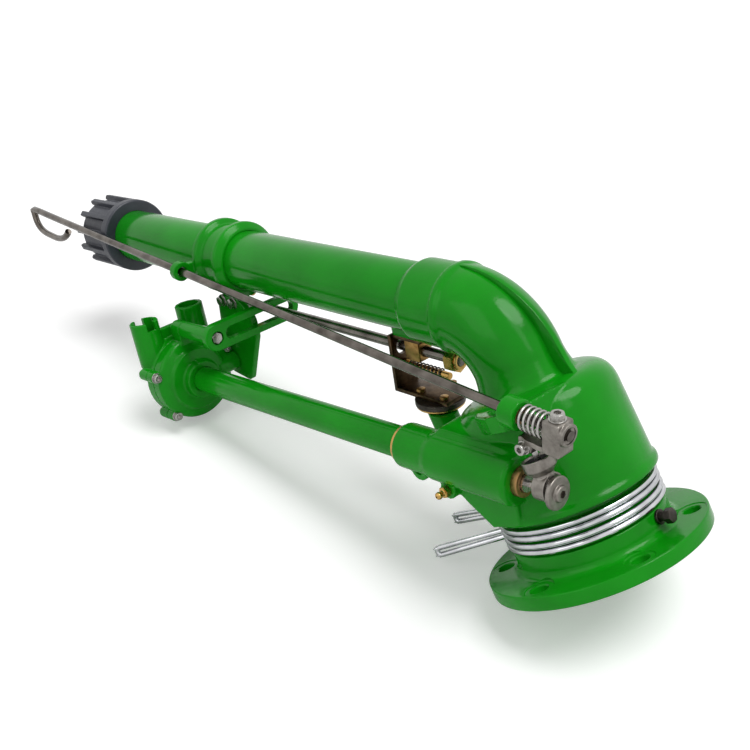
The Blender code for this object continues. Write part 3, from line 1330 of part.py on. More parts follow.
def toggle_rod():
    """The brass spring guide of the over-centre switch, carried by the end plate."""
    end = SWITCH_END_S
    profile = [(0.0, end + 4.0), (TOGGLE_RADIUS + 2.4, end + 4.0), (TOGGLE_RADIUS + 2.4, end + GAP),
               (TOGGLE_RADIUS, end + GAP), (TOGGLE_RADIUS, end - SWITCH_PLATE - GAP),
               (TOGGLE_RADIUS + 2.4, end - SWITCH_PLATE - GAP),
               (TOGGLE_RADIUS + 2.4, end - SWITCH_PLATE - 4.0),
               (TOGGLE_RADIUS, end - SWITCH_PLATE - 5.0), (TOGGLE_RADIUS, 72.0), (0.0, 72.0)]
    return turned("toggle_rod", profile, toggle_frame(), brass(), steps=16)


def switch_pin():
    return rod("switch_pin", SWITCH_PIN_RADIUS, REVERSER_H + REVERSER_RADIUS + GAP, SWITCH_PIN_TOP,
               switch_pin_frame(), brass(), sides=18)


COVER_S = 88.0
COVER_RADIUS = 23.0


def switch_cover():
    """The dark round cover of the trip mechanism, under the switch's shelf."""
    frame = frame_from(barrel_point(COVER_S, REVERSER_Y, 0.0), BARREL_UP)
    high = SWITCH_BOTTOM_H - GAP
    profile = [(0.0, high), (COVER_RADIUS, high), (COVER_RADIUS, high - 5.5), (COVER_RADIUS - 2.0, high - 7.5),
               (0.0, high - 7.5)]
    return turned("switch_cover", profile, frame, dark_steel(), steps=32)


# Reverser

def reverser_frame():
    return shifted(BARREL, x=-REVERSER_H, y=REVERSER_Y)


def reversing_rod():
    return rod("reversing_rod", REVERSER_RADIUS, REVERSER_BACK_S, REVERSER_FRONT_S, reverser_frame(),
               steel(), sides=20)


def pivot_block():
    """The brass block that carries the rod and turns on the switch pin."""
    pivot = REVERSER_PIVOT_S
    top = SWITCH_PAD_H - GAP - SWITCH_FLANGE - 0.8
    item = switch_block("pivot_block", pivot - 9.0, pivot + 9.0, 8.5, REVERSER_H - 8.5, top, brass(),
                        bevel=1.2)
    passage = rod("pivot_passage", REVERSER_RADIUS + GAP, pivot - 20.0, pivot + 20.0, reverser_frame(),
                  sides=24, cutter=True)
    pin_bore = rod("pivot_pin_bore", SWITCH_PIN_RADIUS + RUNNING, REVERSER_H, SWITCH_PIN_TOP,
                   switch_pin_frame(),
                   sides=18, cutter=True)
    return cut(item, passage, pin_bore)


def rod_nut():
    low = REVERSER_BACK_S + 2.0
    return hex_nut("rod_nut", REVERSER_RADIUS + GAP, 10.5, low, low + 10.0, reverser_frame(), brass())


DEFLECTOR_BACK_S = 386.0
DEFLECTOR_LENGTH = 12.0


def deflector():
    """A hub on the rod with a two-sided vane on top, which stands in the drive jet."""
    low = DEFLECTOR_BACK_S
    high = low + DEFLECTOR_LENGTH
    item = rod("deflector", REVERSER_RADIUS + 3.0, low, high, reverser_frame(), steel(), sides=24)
    outline = [(low + 1.5, -0.5), (low + 1.5, 0.5), (high - 1.0, 5.5), (high - 1.0, -5.5)]
    vane = plate("deflector_vane", list(reversed(outline)), REVERSER_H + 3.0, JET_H + 5.5,
                 under_barrel_frame(), cutter=True)
    join(item, vane)
    bore = rod("deflector_bore", REVERSER_RADIUS + GAP, low - OVERSHOOT, high + OVERSHOOT,
               reverser_frame(), sides=24, cutter=True)
    return cut(item, bore)


def deflector_nut():
    low = DEFLECTOR_BACK_S + DEFLECTOR_LENGTH + GAP
    return hex_nut("deflector_nut", REVERSER_RADIUS + GAP, 8.5, low, low + 6.0, reverser_frame(), steel())


# Trip

def trip_shaft():
    """The upright trip shaft with its arm and the pin that carries the roller."""
    top = TRIP_POST_HIGH
    low = TRIP_ARM_Z - TRIP_ARM_THICKNESS / 2
    profile = [(0.0, top + 6.0), (4.0, top + 6.0), (8.0, top + 4.5), (8.0, top + GAP),
               (TRIP_SHAFT_RADIUS, top + GAP), (TRIP_SHAFT_RADIUS, TRIP_POST_LOW - GAP),
               (9.0, TRIP_POST_LOW - GAP), (9.0, low), (0.0, low)]
    item = turned("trip_shaft", profile, shifted(WORLD, TRIP_POST_X), dark_steel(), steps=14)
    roller = Vector((*TRIP_ROLLER_XY, 0.0))
    root = Vector((TRIP_POST_X, 0.0, 0.0))
    along = (roller - root)
    middle = (roller + root) / 2
    frame = frame_from((middle.x, middle.y, 0.0), (0.0, 0.0, 1.0), (-along.y, along.x, 0.0))
    arm = plate("trip_arm", rounded_bar(along.length / 2, 8.0), low + 0.2, low + TRIP_ARM_THICKNESS, frame,
                cutter=True)
    pin = rod("roller_pin", 3.0, ROLLER_BOTTOM - 3.0, TRIP_ARM_Z, roller_frame(), sides=12, cutter=True)
    stop = rod("roller_stop", 4.6, ROLLER_BOTTOM - 3.0, ROLLER_BOTTOM - GAP, roller_frame(), sides=12,
               cutter=True)
    shoulder = rod("roller_shoulder", 4.6, ROLLER_TOP + GAP, TRIP_ARM_Z, roller_frame(), sides=12,
                   cutter=True)
    return join(item, arm, pin, stop, shoulder)


ROLLER_TOP = 56.0


def roller_frame():
    return shifted(WORLD, *TRIP_ROLLER_XY)


def trip_roller():
    return ring("trip_roller", 3.0 + RUNNING, ROLLER_RADIUS, ROLLER_BOTTOM, ROLLER_TOP, roller_frame(),
                steel(), 20)


# Jet breaker

def loop_points():
    """The flat wire loop at the rod's end, drawn from the tip back towards the rod."""
    lean = math.radians(LOOP_LEAN)
    tip = ROD_SPAN + ROD_REACH
    half = LOOP_LENGTH / 2
    points = []
    for index in range(13):
        angle = math.radians(6.0 + 150.0 * index / 12)
        across = math.copysign(abs(math.cos(angle)) ** 0.75, math.cos(angle))
        depth = LOOP_DEPTH * math.sin(angle) ** 0.85
        points.append((depth * math.cos(lean), -depth * math.sin(lean), tip - half + half * across))
    return points


def jet_breaker_rod():
    tip = ROD_SPAN + ROD_REACH
    points = [(0.0, 0.0, -ROD_TAIL), (0.0, 0.0, 0.0), (0.0, 0.0, ROD_SPAN), (0.0, 0.0, tip - LOOP_LENGTH),
              (0.0, 0.0, tip - 5.0)]
    points += loop_points()
    check_wire_gap("jet_breaker_rod", points, ROD_RADIUS, skip=8)
    return wire("jet_breaker_rod", points, ROD_RADIUS, ROD, steel(), resolution=4)


LEVER_NEAR = 12.6
LEVER_THICKNESS = 4.4
CLAMP_FRONT = -26.0
CLAMP_LENGTH = 15.0
PIN_CLAMP_DEPTH = 24.0
PIN_CLAMP_BACK = -15.0
PIN_CLAMP_FRONT = -3.0
LEVER_HALF_WIDTH = 8.5


def rod_lever():
    """The lever: a block clamped on the rod's tail, a flat strip under the spring, a pin clamp."""
    half = LEVER_HALF_WIDTH
    item = block("rod_lever", (-9.0, -half, CLAMP_FRONT - CLAMP_LENGTH),
                 (LEVER_NEAR + LEVER_THICKNESS, half, CLAMP_FRONT), ROD, steel())
    strip = block("lever_strip", (LEVER_NEAR, -half + 0.4, CLAMP_FRONT - CLAMP_LENGTH + 1.0),
                  (LEVER_NEAR + LEVER_THICKNESS - 0.2, half - 0.4, PIN_CLAMP_FRONT), ROD, cutter=True)
    grip = block("pin_clamp", (LEVER_NEAR + 0.4, -6.5, PIN_CLAMP_BACK), (PIN_CLAMP_DEPTH, 6.5,
                 PIN_CLAMP_FRONT + 0.4), ROD, cutter=True)
    join(item, strip, grip)
    bore = rod("lever_bore", ROD_RADIUS + GAP, CLAMP_FRONT - 30.0, CLAMP_FRONT + OVERSHOOT, ROD, sides=24,
               cutter=True)
    pin_bore = rod("lever_pin_bore", PIN_RADIUS + GAP, 90.0, PIN_TOP + GAP, pin_frame(), sides=16,
                   cutter=True)
    return cut(item, bore, pin_bore)


PIN_TOP = 126.5
PIN_TIP = CUP_FLOOR_Z + 1.8


def pin_frame():
    return frame_from((CUP_X, DRIVE_OFFSET, 0.0), (0.0, 0.0, 1.0))


def link_pin():
    return rod("link_pin", PIN_RADIUS, PIN_TIP, PIN_TOP, pin_frame(), steel(), sides=16)


def rod_spring():
    """The visible coil spring between the boss and the lever's clamp."""
    count = SPRING_TURNS * 10
    back = CLAMP_FRONT + SPRING_WIRE_RADIUS + GAP
    front = -2.0 - SPRING_WIRE_RADIUS - GAP
    points = []
    for index in range(count + 1):
        angle = math.tau * SPRING_TURNS * index / count
        points.append((SPRING_RADIUS * math.cos(angle), SPRING_RADIUS * math.sin(angle),
                       back + (front - back) * index / count))
    check_wire_gap("rod_spring", points, SPRING_WIRE_RADIUS, skip=5)
    return wire("rod_spring", points, SPRING_WIRE_RADIUS, ROD, steel(), resolution=1)


def rod_bush():
    high = ROD_BOSS_LENGTH - 2.0
    return ring("rod_bush", ROD_RADIUS + RUNNING, ROD_BUSH_RADIUS, -2.0 + GAP, high - GAP, ROD, bronze(), 24)


# Assembly

def base():
    base_flange()
    neck_bolt()
    riser_tube()
    wheel_spacer()
    worm_wheel()
    riser_nut()
    ring_low = NECK_LEDGE_Z + RING_WIRE_RADIUS + 1.2
    stop_ring("stop_ring_lower", ring_low)
    stop_ring("stop_ring_upper", ring_low + 2 * RING_PITCH + 1.2)


def gun():
    gun_body()
    lower_bush()
    upper_bearing()
    top_seal()
    barrel_rear()
    stream_straightener()
    barrel_collar()
    barrel_front()
    nozzle_ring()
    nozzle_cap()
    drive_tube()
    tube_gland()
    rear_bush()
    front_bush()
    rod_bush()
    grease_nipple()
    turbine_housing()
    turbine_cover()
    turbine_bracket()
    slotted_guide()
    guide_bolt()
    drive_jet_nozzle()
    switch_frame()
    toggle_rod()
    switch_pin()
    switch_cover()


def drive():
    drive_shaft()
    worm()
    turbine_wheel()
    eccentric()
    crank_screw()
    crank_strap()


def jet_breaker():
    jet_breaker_rod()
    rod_lever()
    link_pin()
    rod_spring()


def reverser():
    reversing_rod()
    pivot_block()
    rod_nut()
    deflector()
    deflector_nut()
    trip_shaft()
    trip_roller()


def build():
    clear_scene()
    base()
    gun()
    drive()
    jet_breaker()
    reverser()


build()
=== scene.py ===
"""The dressed rain gun: finer forms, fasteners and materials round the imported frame.

Lengths are in millimetres and become metres where a mesh is made. Every mesh is made in place, in the
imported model's frame: +Z is the swing axis, and the barrel throws along +X and climbs BARREL_ANGLE.
"""
import math

import bmesh
import bpy
from mathutils import Matrix, Vector


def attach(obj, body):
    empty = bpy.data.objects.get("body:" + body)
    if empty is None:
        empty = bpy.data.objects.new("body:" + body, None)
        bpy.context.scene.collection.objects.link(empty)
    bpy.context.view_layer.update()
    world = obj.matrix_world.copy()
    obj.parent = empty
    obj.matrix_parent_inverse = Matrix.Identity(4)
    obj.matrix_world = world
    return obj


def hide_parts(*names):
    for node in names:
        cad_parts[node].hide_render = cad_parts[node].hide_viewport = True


MM = 0.001
GAP = 0.3
UP = (0.0, 0.0, 1.0)
FINE = 96                      # steps round a turned piece

BARREL_ANGLE = 24.0
BARREL_AXIS_Z = 208.1
DRIVE_OFFSET = 70.0
DRIVE_ANGLE = 21.31
DRIVE_Z = 105.9
DRIVE_TUBE_RADIUS = 13.6
ROD_BACK = (-53.6, 70.0, 144.9)
ROD_EYE = (353.6, 53.5, 364.2)
ROD_REACH = 370.0
ROD_TAIL = 45.0
ROD_RADIUS = 4.0
LOOP_LENGTH = 104.0
LOOP_DEPTH = 27.0
LOOP_LEAN = -4.0                # degrees of the loop's plane from straight down
CRANK_THROW = 3.2
CUP_X = -52.0
FLANGE_RADIUS = 92.5
FLANGE_BOLTS = 6
FIRST_BOLT_ANGLE = 34.0
NECK_BOLT_ANGLE = 187.0
BOLT_CIRCLE = 78.5
NECK_RADIUS = 64.5
NECK_SEAT = 61.2
NECK_TOP = 57.0
RISER_BORE = 32.0
RISER_RADIUS = 38.0
PIPE_RADIUS = 30.4
REAR_BORE = 27.4               # also the bore at the elbow's end
REAR_PIPE_SPAN = (46.3, 362.2)
FRONT_PIPE_RADIUS = 29.5
FRONT_BORE = 26.5
FRONT_PIPE_SPAN = (364.8, 589.7)
ELBOW_BEND = 61.0
ELBOW_RADIUS = 37.0
BEND_Z = 168.5                  # height of the bend's centre
COLLAR_START = 342.0
COLLAR_END = 385.0
CAP_START = 566.0
CAP_FRONT = 640.0
CAP_RADIUS = 36.5
CAP_RIM_RADIUS = 42.4
CAP_FINS = 12
TURBINE_BACK = 400.0
TURBINE_SPLIT = 430.0
TURBINE_FRONT = 452.0
TURBINE_RADIUS = 44.5
TURBINE_ROOM = 37.0
CASE_LUG_RADIUS = 6.2
CASE_SCREW_HOLE = 2.9
INLET_RADIUS = 15.0
INLET_BORE = 11.0
INLET_T = 446.5                 # along the drive
INLET_Y = 28.0                  # either side of it
LUG_CIRCLE = 46.5
LUG_ANGLES = (19.5, 160.5, 225.0, 315.0)
REVERSER_RADIUS = 5.0
REVERSER_HOLE = 5.3
REVERSER_Y = -9.0
REVERSER_H = -55.5
PIVOT_S = 108.0
TRIP_POST_X = 114.0
TRIP_POST_RADIUS = 13.0
ROLLER_XY = (124.0, -34.0)
GUIDE_S = 317.0
GUIDE_BOSS_M = 54.0
GUIDE_BOSS_END = 414.0
GUIDE_BAR_HALF = 14.0
SLOT_HALF = 6.8
SLOT_REACH = 36.5               # from its middle to the centre of a round end
SLOT_Y = 16.5
BRACKET_SCREW_HOLE = 3.3
FEED_S = 364.0
FEED_Y = -11.0
JET_H = -42.0
SWITCH_END = 132.0
SWITCH_BOTTOM = -97.0
TOGGLE_H = -74.0
RING_WIRE = 2.4
RING_PITCH = 5.4                # between the two strands of one ring
RING_LOW = 34.2                 # the lowest strand's height
RING_GAP = 1.2                  # from one ring to the next
RIB_REACH = (99.0, 100.0, 100.9, 101.7, 102.4, 103.2, 104.2, 105.4, 106.6, 107.8, 109.0)
RIB_THICKNESS = 5.0
RIB_START = 114.0               # degrees round the bend, at the pipe's socket
RIB_STEP = 6.6

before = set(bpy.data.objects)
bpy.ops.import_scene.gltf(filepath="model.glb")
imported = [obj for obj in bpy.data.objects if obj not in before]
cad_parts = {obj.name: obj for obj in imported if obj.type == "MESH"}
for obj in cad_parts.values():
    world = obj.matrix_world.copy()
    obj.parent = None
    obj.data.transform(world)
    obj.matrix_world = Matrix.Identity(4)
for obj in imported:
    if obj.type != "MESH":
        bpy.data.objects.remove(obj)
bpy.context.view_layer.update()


# Materials. Each takes its grain from the object's own coordinates, in metres.

def add_node(tree, kind, values):
    """A new shader node, each of its named inputs set to a value or fed by another node's output."""
    node = tree.nodes.new("ShaderNode" + kind)
    for name, value in values.items():
        if isinstance(value, bpy.types.NodeSocket):
            tree.links.new(value, node.inputs[name])
        else:
            node.inputs[name].default_value = value
    return node


class Look:
    """A Principled material and the short calls that build its nodes."""

    def __init__(self, name, roughness, metallic=0.0):
        self.made = bpy.data.materials.new(name)
        self.made.use_nodes = True
        self.tree = self.made.node_tree
        self.shader = self.tree.nodes["Principled BSDF"]
        self.shader.inputs["Roughness"].default_value = roughness
        self.shader.inputs["Metallic"].default_value = metallic
        self.place = self.add("TexCoord", {}).outputs["Object"]
        self.last_bump = None

    def add(self, kind, values):
        return add_node(self.tree, kind, values)

    def shade(self, output, socket):
        self.tree.links.new(output, self.shader.inputs[socket])

    def along(self, direction, stretch):
        """Coordinates squeezed along a direction, so that grain runs that way."""
        turn = Vector(direction).to_track_quat("Z", "Y").inverted().to_euler()
        first = self.add("Mapping", {"Rotation": turn, "Vector": self.place})
        squeeze = {"Scale": (1.0, 1.0, 1.0 / stretch), "Vector": first.outputs["Vector"]}
        return self.add("Mapping", squeeze).outputs["Vector"]

    def noise(self, scale, detail=3.0, rough=0.5, place=None):
        values = {"Scale": scale, "Detail": detail, "Roughness": rough, "Vector": place or self.place}
        return self.add("TexNoise", values).outputs["Fac"]

    def color(self, source, stops):
        node = self.add("ValToRGB", {"Fac": source})
        for element, (spot, color) in zip(node.color_ramp.elements, stops):
            element.position = spot
            element.color = (*color, 1.0)
        self.shade(node.outputs["Color"], "Base Color")

    def spread(self, source, low, high):
        """Roughness from low to high as the source goes from 0.3 to 0.7."""
        values = {"Value": source, "From Min": 0.3, "From Max": 0.7, "To Min": low, "To Max": high}
        self.shade(self.add("MapRange", values).outputs["Result"], "Roughness")

    def bump(self, source, strength, depth):
        values = {"Strength": strength, "Distance": depth * MM, "Height": source}
        if self.last_bump is not None:
            values["Normal"] = self.last_bump
        self.last_bump = self.add("Bump", values).outputs["Normal"]
        self.shade(self.last_bump, "Normal")


def paint(name, cast_depth):
    """Glossy green paint. A casting shows the sand's waves through it, and a pipe hardly does."""
    look = Look(name, 0.2)
    look.color(look.noise(14.0, 4.0), ((0.3, (0.003, 0.210, 0.004)), (0.7, (0.005, 0.300, 0.006))))
    look.spread(look.noise(90.0, 5.0), 0.10, 0.20)
    look.shader.inputs["Specular IOR Level"].default_value = 0.17
    look.bump(look.noise(70.0, 2.0), 0.35, cast_depth)
    look.bump(look.noise(420.0, 2.0), 0.12, 0.25)
    return look.made


def drawn_metal(name, dark, light, direction, low, high, grain=0.05):
    """Bright bar or wire with fine lines along it."""
    look = Look(name, low, 1.0)
    lines = look.noise(900.0, 4.0, 0.6, look.along(direction, 40.0))
    look.color(look.noise(60.0, 4.0), ((0.32, dark), (0.68, light)))
    look.spread(lines, low, high)
    look.bump(lines, 0.3, grain)
    return look.made


def cast_metal(name, dark, light, low, high, depth):
    """Metal with a blasted or sand-cast skin."""
    look = Look(name, low, 1.0)
    look.color(look.noise(110.0, 6.0, 0.65), ((0.3, dark), (0.7, light)))
    look.spread(look.noise(260.0, 4.0), low, high)
    look.bump(look.noise(750.0, 4.0, 0.7), 0.5, depth)
    look.bump(look.noise(120.0, 3.0), 0.3, depth * 2)
    return look.made


def matt(name, dark, light, low, high, depth):
    """Moulded plastic or rubber."""
    look = Look(name, low)
    look.color(look.noise(40.0, 4.0), ((0.3, dark), (0.7, light)))
    look.spread(look.noise(300.0, 4.0), low, high)
    look.bump(look.noise(1400.0, 3.0, 0.7), 0.35, depth)
    return look.made


def polar(radius, angle):
    """The point that far from the origin, at an angle in degrees."""
    return (radius * math.cos(math.radians(angle)), radius * math.sin(math.radians(angle)))


def incline(angle):
    return (math.cos(math.radians(angle)), 0.0, math.sin(math.radians(angle)))


ROD_AXIS = (Vector(ROD_EYE) - Vector(ROD_BACK)).normalized()
ROD_SPAN = (Vector(ROD_EYE) - Vector(ROD_BACK)).length

CAST_PAINT = paint("green_cast_paint", 0.5)
PIPE_PAINT = paint("green_pipe_paint", 0.12)
ROD_STEEL = drawn_metal("drawn_stainless", (0.075, 0.065, 0.055), (0.19, 0.17, 0.15), ROD_AXIS, 0.14, 0.26)
BAR_STEEL = drawn_metal("ground_bar", (0.10, 0.09, 0.08), (0.22, 0.20, 0.18), incline(BARREL_ANGLE),
                        0.18, 0.34)
SHAFT_STEEL = drawn_metal("ground_shaft", (0.35, 0.34, 0.32), (0.5, 0.48, 0.46), incline(DRIVE_ANGLE),
                          0.2, 0.35)
PLATED = drawn_metal("plated_wire", (0.48, 0.49, 0.51), (0.68, 0.69, 0.71), UP,
                     0.07, 0.16, 0.02)
SCREW_STEEL = cast_metal("bright_fastener", (0.32, 0.31, 0.29), (0.50, 0.49, 0.47), 0.2, 0.34, 0.015)
CAST_STEEL = cast_metal("cast_stainless", (0.15, 0.135, 0.12), (0.31, 0.29, 0.26), 0.28, 0.45, 0.05)
DARK_STEEL = cast_metal("blackened_steel", (0.035, 0.03, 0.027), (0.09, 0.08, 0.07), 0.35, 0.55, 0.04)
BRASS = cast_metal("brass", (0.42, 0.25, 0.07), (0.66, 0.42, 0.14), 0.2, 0.36, 0.03)
OILED_IRON = cast_metal("oiled_iron", (0.030, 0.019, 0.011), (0.12, 0.078, 0.042), 0.26, 0.45, 0.04)
OLD_BRASS = cast_metal("oiled_brass", (0.16, 0.085, 0.025), (0.46, 0.29, 0.10), 0.26, 0.46, 0.04)
BRONZE = cast_metal("bronze", (0.24, 0.13, 0.05), (0.46, 0.28, 0.12), 0.3, 0.48, 0.05)
SLATE = matt("slate_plastic", (0.020, 0.023, 0.033), (0.034, 0.038, 0.052), 0.34, 0.5, 0.04)
RUBBER = matt("rubber", (0.010, 0.010, 0.010), (0.022, 0.021, 0.020), 0.6, 0.8, 0.05)


# Local frames, as matrices in metres

def frame_from(origin, axis_z, axis_y=(0.0, 1.0, 0.0)):
    """A frame with its local Z along axis_z and its local Y as near to axis_y as it can be."""
    z = Vector(axis_z).normalized()
    x = Vector(axis_y).cross(z).normalized()
    y = z.cross(x)
    return Matrix.Translation(Vector(origin) * MM) @ Matrix((x, y, z)).transposed().to_4x4()


def shifted(home, x=0.0, y=0.0, z=0.0):
    return home @ Matrix.Translation(Vector((x, y, z)) * MM)


WORLD = Matrix.Identity(4)
BARREL = frame_from((0.0, 0.0, BARREL_AXIS_Z), incline(BARREL_ANGLE))
DRIVE = frame_from((0.0, DRIVE_OFFSET, DRIVE_Z), incline(DRIVE_ANGLE))
ROD = frame_from(ROD_BACK, ROD_AXIS)
UPRIGHT = frame_from((0.0, 0.0, 0.0), (0.0, -1.0, 0.0), UP)
BARREL_UP = incline(BARREL_ANGLE + 90.0)
DRIVE_UP = incline(DRIVE_ANGLE + 90.0)
DOWN = tuple(-value for value in BARREL_UP)


def barrel_point(s, y, h):
    return tuple(BARREL @ (Vector((-h, y, s)) * MM) / MM)


def drive_point(t, y, m):
    return tuple(DRIVE @ (Vector((-m, y, t)) * MM) / MM)


def facing_y(origin):
    return frame_from(origin, (0.0, 1.0, 0.0), UP)


GREASE = facing_y((46.0, 0.0, 99.7))
LUG = facing_y((72.5, 0.0, 119.2))
REVERSER = shifted(BARREL, x=-REVERSER_H, y=REVERSER_Y)
TOGGLE = shifted(BARREL, x=-TOGGLE_H, y=REVERSER_Y)
UNDER = frame_from(barrel_point(0.0, REVERSER_Y, 0.0), BARREL_UP)
PIVOT = frame_from(barrel_point(PIVOT_S, REVERSER_Y, 0.0), BARREL_UP)
FEED = frame_from(barrel_point(FEED_S, FEED_Y, 0.0), DOWN)
JET = shifted(BARREL, x=-JET_H, y=FEED_Y)
PIN = frame_from((CUP_X, DRIVE_OFFSET, 0.0), UP)
THROW = shifted(DRIVE, x=-CRANK_THROW)
EYE = shifted(ROD, z=ROD_SPAN)
POST = shifted(WORLD, TRIP_POST_X)
GUIDE_BOLT = shifted(DRIVE, x=-GUIDE_BOSS_M)


# Shape makers. Each returns a closed mesh object whose vertices are already in place.

def linked(name, data):
    item = bpy.data.objects.new(name, data)
    bpy.context.scene.collection.objects.link(item)
    return item


def place(name, shape, home):
    bmesh.ops.recalc_face_normals(shape, faces=shape.faces)
    data = bpy.data.meshes.new(name)
    shape.to_mesh(data)
    shape.free()
    data.transform(home)
    return linked(name, data)


def arc(centre, radius, start, end, count):
    steps = [math.radians(start + (end - start) * i / (count - 1)) for i in range(count)]
    return [(centre[0] + radius * math.cos(a), centre[1] + radius * math.sin(a)) for a in steps]


def rounded_bar(half_length, radius, count=17):
    return (arc((half_length, 0.0), radius, -90.0, 90.0, count)
            + arc((-half_length, 0.0), radius, 90.0, 270.0, count))


def softened(points, radius, closed):
    """Corner points traded for short curves of about that radius."""
    result = []
    count = len(points)
    for index, point in enumerate(points):
        if not closed and index in (0, count - 1):
            result.append(point)
            continue
        here = Vector(point)
        back = Vector(points[index - 1]) - here
        ahead = Vector(points[(index + 1) % count]) - here
        if back.length < 0.05 or ahead.length < 0.05 or back.angle(-ahead) < math.radians(14.0):
            result.append(point)
            continue
        reach = min(radius, back.length * 0.45, ahead.length * 0.45)
        first = here + back.normalized() * reach
        last = here + ahead.normalized() * reach
        for share in (0.0, 0.3, 0.7, 1.0):
            spot = first * (1 - share) ** 2 + here * 2 * share * (1 - share) + last * share ** 2
            result.append(tuple(spot))
    return result


def lathe(name, profile, home, soft=0.5, steps=FINE):
    """(radius, height) points turned about local Z. A profile that starts on the axis also ends there."""
    on_axis = profile[0][0] == 0.0
    points = softened(profile, soft, not on_axis) if soft else profile
    shape = bmesh.new()
    rows = []
    for radius, height in points:
        count = 1 if radius < 1e-6 else steps
        rows.append([shape.verts.new((*polar(radius * MM, 360.0 * i / steps), height * MM))
                     for i in range(count)])
    pairs = list(zip(rows, rows[1:]))
    if not on_axis:
        pairs.append((rows[-1], rows[0]))
    for first, second in pairs:
        for i in range(steps):
            corners = [first[i % len(first)], first[(i + 1) % len(first)],
                       second[(i + 1) % len(second)], second[i % len(second)]]
            corners = list(dict.fromkeys(corners))
            if len(corners) > 2:
                shape.faces.new(corners)
    return place(name, shape, home)


def spun(name, profile, home, soft=0.5, steps=FINE):
    """A turned solid. The profile runs from its top to its bottom and is closed on the axis."""
    return lathe(name, [(0.0, profile[0][1]), *profile, (0.0, profile[-1][1])], home, soft, steps)


def rod(name, radius, low, high, home, soft=0.0, steps=48):
    return spun(name, [(radius, high), (radius, low)], home, soft, steps)


def tube(name, inner, outer, low, high, home, soft=0.3, steps=FINE):
    return lathe(name, [(outer, high), (outer, low), (inner, low), (inner, high)], home, soft, steps)


def plate(name, outline, low, high, home, bevel=0.0, segments=2):
    """A flat outline of local (x, y) points from low to high along local Z."""
    shape = bmesh.new()
    floor = [shape.verts.new((x * MM, y * MM, low * MM)) for x, y in outline]
    roof = [shape.verts.new((x * MM, y * MM, high * MM)) for x, y in outline]
    shape.faces.new(list(reversed(floor)))
    shape.faces.new(roof)
    count = len(outline)
    for i in range(count):
        j = (i + 1) % count
        shape.faces.new((floor[i], floor[j], roof[j], roof[i]))
    soften(shape, bevel, segments)
    return place(name, shape, home)


def soften(shape, bevel, segments):
    if not bevel:
        return
    bmesh.ops.recalc_face_normals(shape, faces=shape.faces)
    edges = [edge for edge in shape.edges if edge.calc_face_angle(0.0) > math.radians(28.0)]
    bmesh.ops.bevel(shape, geom=edges, offset=bevel * MM, segments=segments, profile=0.5,
                    affect="EDGES", clamp_overlap=True)


def block(name, low, high, home, bevel=0.0, segments=2):
    shape = bmesh.new()
    bmesh.ops.create_cube(shape, size=1.0)
    bmesh.ops.scale(shape, verts=shape.verts, vec=[(b - a) * MM for a, b in zip(low, high)])
    bmesh.ops.translate(shape, verts=shape.verts, vec=[(a + b) / 2 * MM for a, b in zip(low, high)])
    soften(shape, bevel, segments)
    return place(name, shape, home)


def under_block(name, s_low, s_high, y_half, h_low, h_high, bevel=0.5):
    """A block under the barrel, centred sideways on the reverser."""
    return block(name, (-h_high, REVERSER_Y - y_half, s_low), (-h_low, REVERSER_Y + y_half, s_high),
                 BARREL, bevel)


def eased(points, steps):
    """A smooth line through the points."""
    spots = [Vector(point) for point in points]
    ends = [2 * spots[0] - spots[1]] + spots + [2 * spots[-1] - spots[-2]]
    line = []
    for a, b, c, d in zip(ends, ends[1:], ends[2:], ends[3:]):
        for i in range(steps):
            t = i / steps
            line.append(0.5 * (2 * b + (c - a) * t + (2 * a - 5 * b + 4 * c - d) * t * t
                               + (3 * b - a - 3 * c + d) * t ** 3))
    return line + [spots[-1]]


def helix(radius, start, length, turns, steps):
    count = turns * steps
    return [(*polar(radius, 360.0 * i / steps), start + length * i / count) for i in range(count + 1)]


def wire(name, points, radius, home):
    """A round wire along local points."""
    curve = bpy.data.curves.new(name, "CURVE")
    curve.dimensions = "3D"
    curve.bevel_depth = radius * MM
    curve.bevel_resolution = 6
    curve.use_fill_caps = True
    line = curve.splines.new("POLY")
    line.points.add(len(points) - 1)
    for index, spot in enumerate(points):
        line.points[index].co = (*(Vector(spot) * MM), 1.0)
    item = linked(name, curve)
    bpy.context.view_layer.update()
    data = bpy.data.meshes.new_from_object(item.evaluated_get(bpy.context.evaluated_depsgraph_get()))
    bpy.data.objects.remove(item, do_unlink=True)
    shape = bmesh.new()
    shape.from_mesh(data)
    bmesh.ops.remove_doubles(shape, verts=shape.verts, dist=0.000001)
    return place(name, shape, home)


def elbow(name, stations, radii, steps=64):
    """A solid along the elbow's centre line, in the plane of the barrel.

    stations are (x, z, angle) with the angle turned from straight up, one radius for each."""
    shape = bmesh.new()
    rows = []
    for (x, z, angle), radius in zip(stations, radii):
        row = [polar(radius, 360.0 * i / steps) for i in range(steps)]
        spots = [Vector((x - out * math.cos(angle), side, z + out * math.sin(angle))) for out, side in row]
        rows.append([shape.verts.new(spot * MM) for spot in spots])
    for first, second in zip(rows, rows[1:]):
        for i in range(steps):
            j = (i + 1) % steps
            shape.faces.new((first[i], first[j], second[j], second[i]))
    shape.faces.new(list(reversed(rows[0])))
    shape.faces.new(rows[-1])
    return place(name, shape, WORLD)


def elbow_line(low_z, last_s, foot):
    """Stations of the elbow: foot heights straight up, the bend, then along the barrel."""
    turn = math.radians(90.0 - BARREL_ANGLE)
    start = BARREL_AXIS_Z - ELBOW_BEND * math.tan(turn / 2)
    line = [(0.0, low_z + (start - low_z) * i / foot, 0.0) for i in range(foot)]
    for i in range(25):
        angle = turn * i / 24
        line.append((ELBOW_BEND - ELBOW_BEND * math.cos(angle), start + ELBOW_BEND * math.sin(angle), angle))
    end = barrel_point(last_s, 0.0, 0.0)
    line.append((end[0], end[2], turn))
    return line


